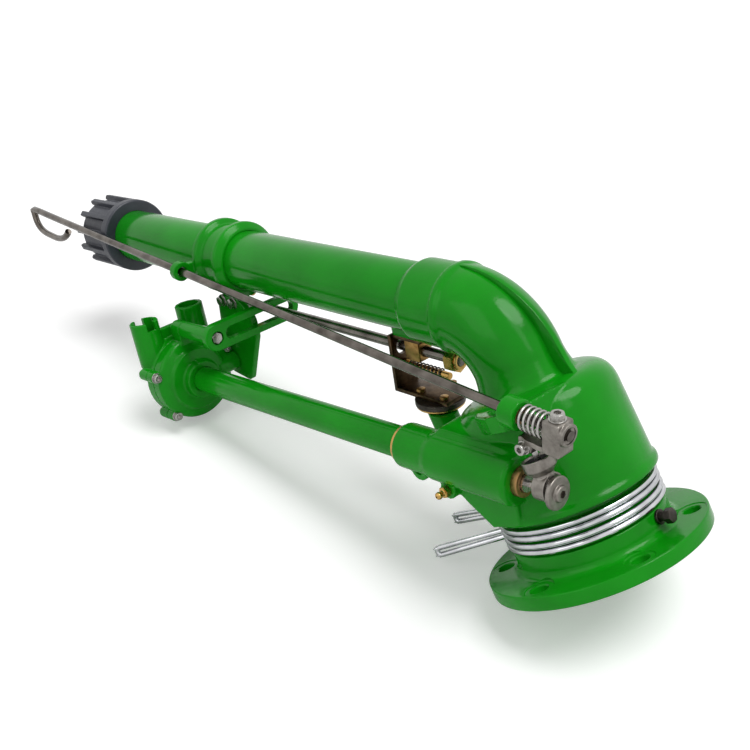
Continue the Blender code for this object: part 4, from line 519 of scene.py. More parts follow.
# Joining and carving

def bake(item, used=()):
    bpy.context.view_layer.update()
    graph = bpy.context.evaluated_depsgraph_get()
    data = bpy.data.meshes.new_from_object(item.evaluated_get(graph))
    item.modifiers.clear()
    item.data = data
    for other in used:
        bpy.data.objects.remove(other, do_unlink=True)
    return item


def carve(item, *others, operation="DIFFERENCE"):
    for other in others:
        change = item.modifiers.new("carve", "BOOLEAN")
        change.operation = operation
        change.solver = "MANIFOLD"
        change.object = other
    return bake(item, others)


def merged(item, *others):
    return carve(item, *others, operation="UNION")


def joined(name, items):
    """Several closed bodies as one object."""
    shape = bmesh.new()
    for item in items:
        shape.from_mesh(item.data)
        bpy.data.objects.remove(item, do_unlink=True)
    return place(name, shape, WORLD)


def cast(name, solids, cuts, voxel, passes):
    """Solids run together under one skin with cast fillets, and then machined."""
    item = joined(name, solids)
    skin = item.modifiers.new("skin", "REMESH")
    skin.mode = "VOXEL"
    skin.voxel_size = voxel * MM * 1.0
    ease = item.modifiers.new("ease", "SMOOTH")
    ease.factor = 0.5
    ease.iterations = passes
    bake(item)
    return carve(item, *cuts) if cuts else item


def dress(item, look, body, *nodes, angle=38.0):
    """Give a piece its material and shading, tie it to its body, and hide the nodes it stands for."""
    item.data.materials.clear()
    item.data.materials.append(look)
    item.data.shade_smooth()
    item.data.set_sharp_from_angle(angle=math.radians(angle))
    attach(item, body)
    if nodes:
        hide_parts(*nodes)
    return item


def hexagon(name, radius, low, high, home, bore=0.0, chamfer=1.0):
    """A hexagon nut or head with turned corners. radius is to its corners."""
    outline = arc((0.0, 0.0), radius, 0.0, 300.0, 6)
    nut = plate(name, outline, low, high, home)
    drop = chamfer * 0.55
    turning = spun(name + "_turn", [(radius - chamfer, high + 0.001), (radius + 0.4, high - drop),
                                    (radius + 0.4, low + drop), (radius - chamfer, low - 0.001)],
                   home, 0.0, 64)
    carve(nut, turning, operation="INTERSECT")
    if bore:
        carve(nut, rod(name + "_bore", bore, low - 2.0, high + 2.0, home))
    return nut


def cap_screw(name, radius, height, home, washer=0.0):
    """A socket cap screw's knurled head on local Z = 0, with its washer."""
    outline = [polar(radius - (0.22 if i % 2 else 0.0), 6.0 * i) for i in range(60)]
    base = 0.9 if washer else 0.0
    head = plate(name, outline, base, base + height * 0.72, home)
    rim = [(radius - 0.4, base + height), (radius - 0.1, base + height * 0.7)]
    top = spun(name + "_top", rim, home, 0.25, 48)
    merged(head, top)
    carve(head, plate(name + "_socket", arc((0.0, 0.0), radius * 0.56, 0.0, 300.0, 6),
                      base + height * 0.35, base + height + 1.0, home))
    if washer:
        merged(head, rod(name + "_washer", washer, 0.0, 1.0, home, 0.25))
    return head


def lug_frame(angle):
    across, up = polar(LUG_CIRCLE, angle)
    return shifted(DRIVE, x=-up, y=across)


# Base: flange, riser, rings

def base_flange():
    fillet = arc((71.0, 18.5), 6.5, 180.0, 270.0, 12)
    profile = [(55.7, 68.0), (55.7, NECK_TOP), (NECK_SEAT, NECK_TOP), (NECK_SEAT, 30.6), (NECK_RADIUS, 30.0)]
    profile += fillet
    profile += [(FLANGE_RADIUS, 12.0), (FLANGE_RADIUS, 0.0), (RISER_BORE, 0.0), (RISER_BORE, 28.0),
                (RISER_RADIUS + GAP, 28.0), (RISER_RADIUS + GAP, 68.0)]
    item = lathe("flange_casting", profile, WORLD, 1.4, 192)
    for index in range(FLANGE_BOLTS):
        spot = shifted(WORLD, *polar(BOLT_CIRCLE, FIRST_BOLT_ANGLE + 360.0 / FLANGE_BOLTS * index))
        profile = [(12.5, 40.0), (12.5, 12.2), (11.7, 11.4), (8.0, 11.4), (7.0, 10.4),
                   (7.0, 0.8), (8.0, -0.2), (8.0, -4.0)]
        carve(item, spun("hole", profile, spot, 0.0, 64))
    bolt = frame_from((0.0, 0.0, 24.0), (*polar(1.0, NECK_BOLT_ANGLE), 0.0), UP)
    carve(item, rod("neck_hole", 3.9, 51.7, 70.0, bolt))
    dress(item, CAST_PAINT, "base", "base_flange")
    shank = rod("neck_stud", 3.6, 52.0, NECK_RADIUS + 8.0, bolt, 0.4)
    head = hexagon("neck_stud_head", 6.0, NECK_RADIUS + 7.0, NECK_RADIUS + 12.8, bolt)
    nut = lathe("neck_stud_nut", [(5.9, 67.0), (5.9, NECK_RADIUS + 0.4), (3.4, NECK_RADIUS + 0.4),
                                  (3.4, 67.0)], bolt, 0.3, 48)
    dress(joined("neck_stud", [merged(head, shank), nut]), DARK_STEEL, "base", "neck_bolt")
    liner = tube("riser_liner", RISER_BORE, RISER_RADIUS, 28.3, 147.0, WORLD)
    dress(liner, SHAFT_STEEL, "base", "riser_tube")


def ring(name, node, body, handle, reach, low):
    """One wire bent double, laid round the neck as two strands with a hairpin handle."""
    radius = NECK_SEAT + 0.9 + RING_WIRE
    outward = Vector((*polar(1.0, handle), 0.0))
    side = Vector((-outward.y, outward.x, 0.0))
    bulge = RING_PITCH / 2 + 0.6

    def strand(height):
        end = handle + math.degrees(7.0 / radius)
        line = [Vector((*spot, height)) for spot in arc((0.0, 0.0), radius, handle + 348.0, end, 91)]
        corner = outward * (radius + 2.45) + side * 2.45
        out = outward * (radius + 7.0)
        return line + [Vector((corner.x, corner.y, height)), Vector((out.x, out.y, height))]

    bend = [Vector((outward.x * away, outward.y * away, height))
            for away, height in arc((reach - bulge, low + RING_PITCH / 2), bulge, -90.0, 90.0, 13)]
    points = strand(low) + bend + list(reversed(strand(low + RING_PITCH)))
    dress(wire(name, eased(points, 3), RING_WIRE, WORLD), PLATED, body, node, angle=60.0)


# Gun body casting

def bell():
    steps = (0.0, 4.0, 9.0, 15.0, 22.0, 30.0, 38.0, 46.0, 54.0, 62.0, 69.0, 75.0, 80.0, 85.0, 88.0, 90.0)
    top = [(36.0 + 30.8 * math.sin(math.radians(a)) ** 0.62, 124.0 + 27.0 * math.cos(math.radians(a)) ** 0.8)
           for a in steps]
    return spun("bell", top + [(69.0, 66.0), (71.1, 63.0), (71.1, 58.4)], WORLD, 0.0, 192)


def bell_cavity():
    profile = [(38.3, 147.3), (38.3, 144.1), (45.3, 144.1), (45.3, 136.7), (49.0, 136.7),
               (49.0, 130.3), (54.3, 130.3), (54.3, 115.7), (62.3, 115.7), (62.3, 56.4)]
    return spun("bell_cavity", profile, WORLD, 0.0, 128)


def around_bend(reach, angle):
    across, up = polar(reach, angle)
    return (ELBOW_BEND + across, BEND_Z + up)


def back_rib():
    """The web along the elbow's back, from the pipe's socket down to the bell."""
    outline = [around_bend(reach, RIB_START + RIB_STEP * i) for i, reach in enumerate(RIB_REACH)]
    outline += [(-49.4, 158.0), (-52.6, 147.0), (-51.0, 140.0), (-21.5, 137.0)]
    outline += [around_bend(88.5, angle) for angle in range(178, 113, -4)]
    return plate("back_rib", outline, -RIB_THICKNESS / 2, RIB_THICKNESS / 2, UPRIGHT, 0.6)


def gun_body():
    outer = elbow_line(142.0, 40.0, 4)
    outer_radii = [46.5, 42.0, 39.2, 37.8] + [ELBOW_RADIUS] * (len(outer) - 4)
    inner = elbow_line(143.0, 47.0, 1)
    inner_radii = [RISER_BORE - 4.6 * min(1.0, i / 14) for i in range(len(inner))]
    shoulder = [(-56.0, 18.0), (-50.0, 52.0), (-46.0, 67.0), (-38.0, 75.0), (-24.0, 76.0), (0.0, 64.0),
                (22.0, 38.0), (10.0, 10.0)]
    pad = [(50.0, 100.0), (40.0, 84.0), (23.0, 61.0), (-8.0, 61.0), (-15.0, 82.0), (-15.0, 98.0)]
    switch = [(42.0, 14.0), (42.0, -14.0), (126.0, -12.0), (134.0, -6.0), (134.0, 6.0), (126.0, 12.0)]
    solids = [
        bell(),
        elbow("elbow_skin", outer, outer_radii, 128),
        spun("socket", [(32.0, 86.0), (36.2, 78.0), (36.2, 42.5), (38.7, 41.0), (38.7, 36.0),
                        (37.0, 33.0)], BARREL, 0.0, 128),
        plate("shoulder", shoulder, 135.5, 148.5, WORLD),
        rod("boss", 12.0, -2.0, 13.0, ROD, 0.4),
        block("bulge", (-24.0, -34.0, -24.5), (20.0, 4.0, 58.0), DRIVE, 8.0, 4),
        plate("pad", pad, -72.5, -40.0, UPRIGHT),
        spun("worm_case", [(18.0, 92.0), (19.0, 90.8), (19.0, 60.0), (20.5, 54.0), (20.5, -25.5),
                           (18.5, -27.5)], DRIVE, 0.0),
        plate("switch_seat", switch, -41.0, -24.0, UNDER),
        rod("post", TRIP_POST_RADIUS, 92.0, 151.0, POST),
        block("post_web", (60.8, -6.0, 94.0), (TRIP_POST_X, 6.0, 128.0), WORLD),
        rod("lug", 9.5, 60.0, 80.0, LUG),
        rod("grease_boss", 8.0, 58.0, 81.0, GREASE),
    ]
    cuts = [
        bell_cavity(),
        elbow("water_way", inner, inner_radii, 96),
        spun("worm_room", [(13.9, 94.0), (13.9, 45.3), (16.3, 45.3), (16.3, -15.7), (11.8, -15.7),
                           (11.8, -62.0)], DRIVE, 0.0, 64),
        rod("pipe_room", PIPE_RADIUS + GAP, 46.0, 136.0, BARREL, 0.0, FINE),
        rod("bush_room", 7.3, -4.0, 26.0, ROD),
        spun("lug_thread", [(4.6, 84.0), (4.4, 79.6), (3.4, 78.4), (3.4, 71.0)], LUG, 0.0, 48),
        spun("pad_thread", [(3.9, 94.0), (3.6, 74.0), (2.6, 72.6), (2.6, 60.0)],
             facing_y((4.3, 0.0, 87.2)), 0.0, 48),
        rod("grease_thread", 2.9, 73.0, 83.0, GREASE),
        rod("post_room", 5.3, 90.0, 134.0, POST),
        rod("post_head_room", 8.6, 132.0, 156.0, POST),
        block("post_trim", (60.0, -17.0, 58.0), (105.2, 17.0, 125.0), BARREL),
        rod("pin_room", 3.5, -43.0, -32.7, PIVOT),
    ]
    casting = merged(cast("gun_body_casting", solids, (), 1.0, 8), back_rib())
    dress(carve(casting, *cuts), CAST_PAINT, "gun", "gun_body")


# Barrel

def barrel():
    rear = tube("rear_pipe", REAR_BORE, PIPE_RADIUS, *REAR_PIPE_SPAN, BARREL, 0.4, 160)
    dress(rear, PIPE_PAINT, "gun", "barrel_rear")
    front = tube("front_pipe", FRONT_BORE, FRONT_PIPE_RADIUS, *FRONT_PIPE_SPAN, BARREL, 0.4, 160)
    dress(front, PIPE_PAINT, "gun", "barrel_front")
    ring_end = [(32.5, 388.0), (38.0, COLLAR_END), (39.2, 383.6), (39.2, 378.4), (38.0, 377.0),
                (34.0, 374.0), (34.0, 353.0), (38.0, 350.0), (39.2, 348.6), (39.2, 343.4),
                (38.0, COLLAR_START), (32.8, 338.0)]
    solids = [
        spun("collar_body", ring_end, BARREL, 0.0, 160),
        rod("eye", 10.0, -4.5, 4.5, EYE),
        block("eye_arm", (-6.0, -20.0, -4.0), (6.0, -2.0, 4.0), EYE),
        block("foot", (28.0, 3.0, 348.0), (49.0, 11.7, 379.0), BARREL),
        rod("feed_boss", 9.0, 28.0, 36.5, FEED),
    ]
    stepped = [(29.8, 393.0), (29.8, 364.5), (27.4, 364.5), (27.4, 362.5), (30.7, 362.5),
               (30.7, 334.0)]
    cuts = [
        spun("collar_room", stepped, BARREL, 0.0, 128),
        spun("eye_room", [(6.5, 9.0), (6.2, 4.9), (4.7, 3.4), (4.7, -3.4), (6.2, -4.9),
                          (6.5, -9.0)], EYE, 0.0, 48),
        rod("feed_room", 5.3, 25.0, 39.0, FEED),
    ]
    cuts += [rod("foot_room", BRACKET_SCREW_HOLE, -14.5, 2.0, bracket_bolt(i)) for i in (0, 1)]
    dress(cast("collar_casting", solids, cuts, 0.8, 4), CAST_PAINT, "gun", "barrel_collar")


def nozzle_cap():
    solid = [(34.5, 637.0), (CAP_RADIUS, 634.0), (CAP_RADIUS, 579.5), (37.5, 578.0),
             (CAP_RIM_RADIUS, 578.0), (CAP_RIM_RADIUS, 567.5), (41.0, CAP_START)]
    fins = []
    for index in range(CAP_FINS):
        turn = Matrix.Rotation(math.tau / CAP_FINS * (index + 0.5), 4, "Z")
        side = BARREL @ turn @ Matrix.Rotation(math.pi / 2, 4, "X")
        outline = [(32.0, 574.0), (CAP_RIM_RADIUS, 574.0), (CAP_RIM_RADIUS, 637.5), (40.5, CAP_FRONT),
                   (37.0, CAP_FRONT), (35.6, 634.0), (32.0, 630.0)]
        fins.append(plate(f"fin_{index}", outline, -3.0, 3.0, side, 0.5))
    cuts = [spun("cap_room", [(31.5, 642.0), (30.5, 634.0), (22.0, 608.0), (22.0, 604.3), (29.8, 604.3),
                              (29.8, 560.0)], BARREL, 0.0, 128)]
    item = cast("cap_moulding", [spun("cap_body", solid, BARREL, 0.3, 160)] + fins, cuts, 0.5, 2)
    dress(item, SLATE, "gun", "nozzle_cap")
    bore = [(29.5, 604.0), (29.5, 590.0), (26.5, 590.0), (23.0, 593.0), (19.0, 598.5), (16.0, 601.0),
            (16.0, 604.0)]
    dress(lathe("nozzle_insert", bore, BARREL, 0.4), BRASS, "gun", "nozzle_ring")


# Drive side

def drive_side():
    dress(tube("drive_pipe", 10.6, DRIVE_TUBE_RADIUS, 45.6, 411.7, DRIVE), PIPE_PAINT, "gun", "drive_tube")
    dress(tube("gland_ring", 13.9, 16.5, 92.3, 95.5, DRIVE, 0.6), BRASS, "gun", "tube_gland")
    dress(tube("rear_bearing", 7.3, 11.5, -33.0, -16.0, DRIVE, 0.5), BRONZE, "gun", "rear_bush")
    dress(tube("rod_bearing", 4.3, 7.0, -1.7, 13.6, ROD, 0.3), BRONZE, "gun", "rod_bush")
    profile = [(0.0, 93.5), (1.6, 93.4), (2.6, 92.6), (3.1, 91.4), (3.1, 90.0), (2.3, 88.8), (2.1, 88.2),
               (2.6, 86.6), (3.4, 86.0), (3.4, 81.3), (2.6, 81.3), (2.6, 74.0), (0.0, 74.0)]
    nipple = lathe("nipple_body", profile, GREASE, 0.3, 48)
    merged(nipple, hexagon("nipple_hex", 4.9, 81.3, 86.3, GREASE))
    carve(nipple, rod("nipple_hole", 0.7, 90.0, 95.0, GREASE, 0.0, 24))
    dress(nipple, BRASS, "gun", "grease_nipple")
    turbine()
    guide()
    feed()


def turbine():
    back = TURBINE_BACK
    split = TURBINE_SPLIT
    profile = [(TURBINE_RADIUS, split), (TURBINE_RADIUS, back + 18.5),
               (TURBINE_RADIUS - 2.0, back + 16.0), (34.0, back + 12.5), (32.5, back + 9.0),
               (21.0, back + 7.5), (19.4, back)]
    pad = facing_y(drive_point(417.0, 0.0, 0.0))
    solids = [
        spun("case", profile, DRIVE, 0.0, 160),
        rod("bracket_pad", 10.5, -50.7, -25.0, pad),
        rod("guide_lug", 9.0, GUIDE_BOSS_END, split, GUIDE_BOLT),
        block("guide_web", (-GUIDE_BOSS_M, -8.0, 414.5), (-38.0, 8.0, 429.5), DRIVE),
    ]
    solids += [rod("case_lug", CASE_LUG_RADIUS, back + 20.0, split, lug_frame(a)) for a in LUG_ANGLES]
    cuts = [
        rod("flat_split", 70.0, split - 0.01, split + 6.0, DRIVE),
        rod("case_room", TURBINE_ROOM, split - 10.0, split + 2.0, DRIVE, 0.0, 96),
        spun("case_bore", [(11.0, split), (11.0, 412.0), (13.9, 412.0), (13.9, back - 3.0)], DRIVE, 0.0, 64),
        rod("guide_bolt_room", 3.7, 412.0, 427.0, GUIDE_BOLT),
        rod("pad_room", BRACKET_SCREW_HOLE, -14.5, 2.0, bracket_bolt(2)),
    ]
    cuts += [rod("lug_room", CASE_SCREW_HOLE, back + 18.0, split + 2.0, lug_frame(a)) for a in LUG_ANGLES]
    dress(cast("turbine_case", solids, cuts, 0.8, 4), CAST_PAINT, "gun", "turbine_housing")

    low = split + GAP
    high = TURBINE_FRONT
    front = [(20.0, high), (22.0, high - 3.0), (39.5, high - 4.0), (TURBINE_RADIUS, high - 9.0),
             (TURBINE_RADIUS, low)]
    solids = [spun("front", front, DRIVE, 0.0, 160)]
    solids += [rod("front_lug", CASE_LUG_RADIUS, low, high - 6.0, lug_frame(a)) for a in LUG_ANGLES]
    solids.append(block("bridge", (-55.0, -28.0, 442.5), (-39.5, 28.0, 450.5), DRIVE))
    cuts = [
        rod("flat_front", 70.0, low - 6.0, low, DRIVE),
        rod("front_room", TURBINE_ROOM, low - 2.0, high - 6.0, DRIVE, 0.0, 96),
    ]
    for side in (-1.0, 1.0):
        home = frame_from(drive_point(INLET_T, side * INLET_Y, 0.0), DRIVE_UP)
        solids.append(rod("inlet", INLET_RADIUS, 20.5, 69.0, home, 0.0, 64))
        cuts.append(rod("inlet_room", INLET_BORE, 24.0, 72.0, home, 0.0, 64))
    cuts.append(block("notch", (-71.0, 23.0, 416.5), (-60.0, 33.0, 476.5), DRIVE, 1.0))
    cuts.append(block("drain", (31.0, -16.0, low + 3.0), (50.5, 16.0, high - 8.0), DRIVE, 1.0))
    cuts += [rod("nut_room", CASE_SCREW_HOLE, low - 2.0, high - 4.0, lug_frame(a)) for a in LUG_ANGLES]
    dress(cast("turbine_front", solids, cuts, 0.8, 4), CAST_PAINT, "gun", "turbine_cover")

    for index, angle in enumerate(LUG_ANGLES):
        home = lug_frame(angle) @ Matrix.Rotation(math.pi, 4, "X")
        seat = -(back + 20.0)
        head = cap_screw(f"case_screw_{index}", 4.4, 4.6, shifted(home, z=seat), 5.6)
        merged(head, rod("stem", 2.55, -(high - 4.0), seat + 0.4, home, 0.3))
        dress(head, SCREW_STEEL, "gun")
        nut = hexagon(f"case_nut_{index}", 4.6, high - 6.0, high - 2.6, lug_frame(angle), 2.6, 0.6)
        dress(nut, SCREW_STEEL, "gun")


def bracket_bolt(index):
    """At the plate's face that a bolt's head seats on, with local Z out of the head."""
    if index < 2:
        return facing_y(barrel_point((354.0, 373.0)[index], 19.0, -43.5))
    return frame_from(drive_point(417.0, 12.0 - DRIVE_OFFSET, 0.0), (0.0, -1.0, 0.0), UP)


def guide():
    home = frame_from((0.0, 0.0, BARREL_AXIS_Z), (0.0, -1.0, 0.0), BARREL_UP)
    outline = [(336.0, -46.0), (326.0, -56.0), (324.0, -76.0), (352.0, -134.0), (386.0, -130.0),
               (394.0, -108.0), (388.0, -72.0), (384.0, -44.0), (379.0, -38.2), (346.0, -38.2)]
    item = plate("bracket_casting", softened(outline, 5.0, True), -19.0, -12.0, home, 1.2, 3)
    carve(item, *[rod("bracket_room", BRACKET_SCREW_HOLE, -14.0, 14.0, bracket_bolt(i)) for i in range(3)])
    dress(item, CAST_PAINT, "gun", "turbine_bracket")
    for index in range(3):
        spot = bracket_bolt(index)
        head = hexagon(f"bracket_screw_{index}", 5.8, 1.2, 5.2, spot)
        merged(head, rod("washer", 6.6, 0.02, 1.3, spot, 0.3), rod("stem", 2.95, -13.5, 1.0, spot, 0.3))
        dress(head, SCREW_STEEL, "gun")

    middle = (DRIVE_OFFSET - 20.0) / 2
    bar_home = frame_from(barrel_point(GUIDE_S, middle, REVERSER_H), incline(BARREL_ANGLE), UP)
    slot_home = frame_from(barrel_point(GUIDE_S, SLOT_Y, REVERSER_H), incline(BARREL_ANGLE), UP)
    solids = [
        plate("bar", rounded_bar((DRIVE_OFFSET + 20.0) / 2, GUIDE_BAR_HALF), -4.0, 4.0, bar_home),
        rod("bar_boss", 9.0, 358.0, 413.7, GUIDE_BOLT, 0.0, 64),
    ]
    cuts = [
        plate("slot", rounded_bar(SLOT_REACH, SLOT_HALF), -8.0, 8.0, slot_home),
        rod("bar_room", 3.7, 330.0, 416.0, GUIDE_BOLT),
        rod("bar_seat", 7.0, 320.0, 359.0, GUIDE_BOLT),
    ]
    dress(cast("guide_casting", solids, cuts, 0.7, 4), CAST_PAINT, "gun", "slotted_guide")
    bolt = rod("guide_stem", 3.4, 358.0, 426.0, GUIDE_BOLT, 0.4)
    head = hexagon("guide_head", 6.0, 353.0, 358.7, GUIDE_BOLT)
    dress(merged(head, bolt), SCREW_STEEL, "gun", "guide_bolt")


def feed():
    item = rod("jet_elbow", 5.0, 31.0, 45.0, FEED, 0.6)
    merged(item, hexagon("jet_hex", 7.0, 36.8, 43.0, FEED),
           spun("jet_pipe", [(3.0, 384.0), (3.6, 374.0), (4.6, 370.0), (4.6, 359.0)], JET, 0.5, 48))
    carve(item, rod("jet_way_in", 2.6, 29.0, 42.0, FEED, 0.0, 24),
          rod("jet_way", 1.8, 363.0, 386.0, JET, 0.0, 24))
    dress(item, BRASS, "gun", "drive_jet_nozzle")


# Reversing switch and rod

def switch():
    item = under_block("switch_shell", SWITCH_END - 4.0, SWITCH_END, 14.0, SWITCH_BOTTOM, -41.3)
    merged(item, under_block("shelf", 66.0, 131.0, 14.0, SWITCH_BOTTOM, SWITCH_BOTTOM + 4.0),
           under_block("flange", 94.0, 131.0, 11.0, -44.3, -41.3))
    carve(item, rod("window", 8.0, 120.0, 140.0, REVERSER),
          rod("pin_way", 3.5, -60.0, -30.0, PIVOT), rod("toggle_way", 3.7, 120.0, 140.0, TOGGLE))
    dress(item, OILED_IRON, "gun", "switch_frame")
    toggle = hexagon("toggle_bar", 5.8, 132.3, 136.0, TOGGLE)
    merged(toggle, hexagon("toggle_nut", 5.8, 124.0, 127.7, TOGGLE),
           rod("toggle_stem", 3.4, 72.0, 135.0, TOGGLE, 0.4))
    dress(toggle, BRASS, "gun", "toggle_rod")
    coil = helix(4.6, 80.0, 42.0, 9, 20)
    dress(wire("toggle_spring", coil, 0.75, TOGGLE), DARK_STEEL, "gun", angle=60.0)
    dress(rod("switch_pivot", 3.2, -50.2, -33.0, PIVOT, 0.4), BRASS, "gun", "switch_pin")
    home = frame_from(barrel_point(88.0, REVERSER_Y, 0.0), BARREL_UP)
    high = SWITCH_BOTTOM - GAP
    cover = rod("round_cover", 23.0, high - 5.2, high, home, 0.8, FINE)
    dress(cover, DARK_STEEL, "gun", "switch_cover")
    rim = spun("cover_rim", [(22.4, high - 5.0), (22.4, high - 6.6), (21.0, high - 7.5)], home, 0.4)
    dress(rim, BRASS, "gun")
    for index in range(3):
        spot = shifted(home, *polar(17.0, 120.0 * index + math.degrees(0.5)), SWITCH_BOTTOM + 4.0)
        dress(hexagon(f"shelf_nut_{index}", 4.2, 0.05, 3.4, spot), OLD_BRASS, "gun")


def reverser():
    item = rod("reverser_bar", REVERSER_RADIUS, 56.0, 408.0, REVERSER, 0.6, 64)
    dress(item, BAR_STEEL, "reverser", "reversing_rod")
    carrier = under_block("rod_carrier", PIVOT_S - 9.0, PIVOT_S + 9.0, 8.5, REVERSER_H - 8.5, -45.1, 1.2)
    carve(carrier, rod("carrier_way", REVERSER_HOLE, 88.0, 128.0, REVERSER),
          rod("carrier_pin", 3.5, REVERSER_H, -33.0, PIVOT))
    dress(carrier, OLD_BRASS, "reverser", "pivot_block")
    end_nut = hexagon("rod_end_nut", 11.8, 58.0, 68.0, REVERSER, REVERSER_HOLE, 1.6)
    dress(end_nut, BRASS, "reverser", "rod_nut")
    dress(tube("rod_end_ring", 5.2, 8.6, 56.2, 57.7, REVERSER), BRASS, "reverser")
    vane = plate("vane", [(397.0, -5.5), (397.0, 5.5), (387.5, 0.5), (387.5, -0.5)], REVERSER_H + 3.0,
                 JET_H + 5.5, UNDER, 0.3)
    hub = rod("jet_deflector", 8.0, 386.0, 398.0, REVERSER, 0.8)
    merged(hub, vane)
    carve(hub, rod("hub_way", REVERSER_HOLE, 384.0, 400.0, REVERSER))
    dress(hub, CAST_STEEL, "reverser", "deflector")
    lock = hexagon("deflector_lock", 8.5, 398.3, 404.3, REVERSER, REVERSER_HOLE, 1.2)
    dress(lock, SCREW_STEEL, "reverser", "deflector_nut")


def trip():
    profile = [(4.0, 138.0), (8.0, 136.5), (8.0, 132.3), (5.0, 132.3), (5.0, 91.7),
               (9.0, 91.7), (9.0, 64.5)]
    item = spun("trip_spindle", profile, POST, 0.6, 64)
    along = Vector((ROLLER_XY[0] - TRIP_POST_X, ROLLER_XY[1], 0.0))
    middle = (TRIP_POST_X + along.x / 2, along.y / 2, 0.0)
    home = frame_from(middle, UP, (-along.y, along.x, 0.0))
    roller = shifted(WORLD, *ROLLER_XY)
    merged(item, plate("arm", rounded_bar(along.length / 2, 8.0), 64.7, 71.5, home, 0.8),
           rod("pin", 3.0, 28.0, 68.0, roller, 0.3), rod("stop", 4.6, 28.0, 30.7, roller, 0.5),
           rod("step", 4.6, 56.3, 68.0, roller, 0.3))
    dress(item, DARK_STEEL, "trip", "trip_shaft")
    dress(tube("roller_sleeve", 3.3, 5.0, 31.0, 56.0, roller, 0.6, 48), SCREW_STEEL, "roller", "trip_roller")


# Crank and jet breaker

def crank():
    item = rod("crank_cam", 8.5, -59.5, -45.5, THROW, 0.5)
    carve(item, rod("cam_way", 3.3, -62.0, -43.0, DRIVE))
    dress(item, SHAFT_STEEL, "drive_train", "eccentric")
    face = -60.1
    cap = [(13.0, face), (13.0, face - 2.2), (12.2, face - 3.0), (7.2, face - 3.0), (6.6, face - 3.3),
           (6.2, face - 5.5), (5.6, face - 6.0)]
    washer = spun("crank_cap", cap, DRIVE, 0.4, 80)
    carve(washer, plate("cap_socket", arc((0.0, 0.0), 3.2, 0.0, 300.0, 6), face - 8.0, face - 2.6, DRIVE))
    dress(washer, CAST_STEEL, "drive_train", "crank_screw")
    solids = [
        rod("strap_ring", 11.6, -58.0, -47.0, THROW, 0.0, 64),
        spun("cup", [(12.5, 112.0), (12.5, 104.5), (8.0, 99.8), (7.0, 94.8)], PIN, 0.0, 64),
    ]
    cuts = [
        rod("strap_way", 8.8, -60.0, -41.5, THROW, 0.0, 64),
        spun("cup_room", [(11.1, 116.0), (11.0, 111.6), (10.5, 110.8), (10.5, 104.4),
                          (9.6, 103.5)], PIN, 0.0, 64),
    ]
    dress(cast("strap_casting", solids, cuts, 0.4, 3), CAST_STEEL, "strap", "crank_strap")
    boot = lathe("cup_boot", [(10.2, 110.6), (10.2, 104.2), (3.4, 103.9), (3.4, 104.7), (8.8, 105.6),
                              (9.4, 110.2)], PIN, 0.3, 64)
    dress(boot, RUBBER, "strap")


def loop_points():
    lean = math.radians(LOOP_LEAN)
    half = LOOP_LENGTH / 2
    points = []
    for index in range(25):
        angle = math.radians(6.0 + 146.0 * index / 24)
        ahead = math.cos(angle) > 0.0
        across = math.copysign(abs(math.cos(angle)) ** (0.5 if ahead else 0.9), math.cos(angle))
        depth = LOOP_DEPTH * math.sin(angle) ** (0.75 if ahead else 1.2)
        points.append((depth * math.cos(lean), -depth * math.sin(lean),
                       ROD_SPAN + ROD_REACH - 1.5 - half + half * across))
    return points


def jet_breaker():
    tip = ROD_SPAN + ROD_REACH
    points = [(0.0, 0.0, -ROD_TAIL), (0.0, 0.0, -ROD_TAIL / 2)]
    points += [(0.0, 0.0, (tip - 5.0) * i / 14) for i in range(15)]
    points += loop_points()
    bar = wire("breaker_bar", eased(points, 3), ROD_RADIUS, ROD)
    dress(bar, ROD_STEEL, "jet_breaker", "jet_breaker_rod", angle=60.0)
    lever()
    dress(rod("lever_pin", 2.4, 105.3, 126.5, PIN, 0.8), SCREW_STEEL, "jet_breaker", "link_pin")
    coil = helix(9.0, -24.6, 21.2, 5, 36)
    dress(wire("breaker_spring", coil, 1.1, ROD), SCREW_STEEL, "jet_breaker", "rod_spring", angle=60.0)


def lever():
    """The clamp on the rod's tail, the strip under the spring and the clamp on the pin."""
    top = shifted(ROD, x=-9.0, z=-33.5) @ Matrix.Rotation(-math.pi / 2, 4, "Y")
    side = shifted(ROD, x=20.0, y=6.5, z=-9.0) @ Matrix.Rotation(-math.pi / 2, 4, "X")
    strip_home = frame_from(ROD_BACK, ROD @ Vector((1.0, 0.0, 0.0)) - ROD.translation, ROD_AXIS)
    strip = [(8.1, -40.0), (8.1, -11.6), (5.8, -5.0), (0.0, -3.0), (-5.8, -5.0), (-8.1, -11.6),
             (-8.1, -40.0)]
    solids = [
        rod("clamp_boss", 8.5, -44.0, -26.0, ROD, 0.0, 64),
        block("clamp", (-9.0, -8.5, -41.0), (17.0, 8.5, -26.0), ROD, 1.5, 3),
        plate("strip", strip, 12.6, 16.8, strip_home),
        block("grip", (13.0, -6.5, -15.0), (24.0, 6.5, -2.6), ROD, 1.5, 3),
    ]
    cuts = [
        rod("clamp_way", 4.3, -60.0, -24.0, ROD),
        lathe("clamp_mouth", [(0.0, -40.0), (6.4, -43.0), (6.4, -50.0), (0.0, -50.0)], ROD, 0.0, 48),
        rod("pin_way", 2.7, 90.0, 126.8, PIN),
    ]
    dress(cast("lever_casting", solids, cuts, 0.4, 3), CAST_STEEL, "jet_breaker", "rod_lever")
    dress(cap_screw("clamp_screw", 5.2, 4.6, top, 6.4), SCREW_STEEL, "jet_breaker")
    dress(cap_screw("pin_screw", 4.6, 4.8, side, 5.4), SCREW_STEEL, "jet_breaker")


# Nodes that stay as they are, inside the casting

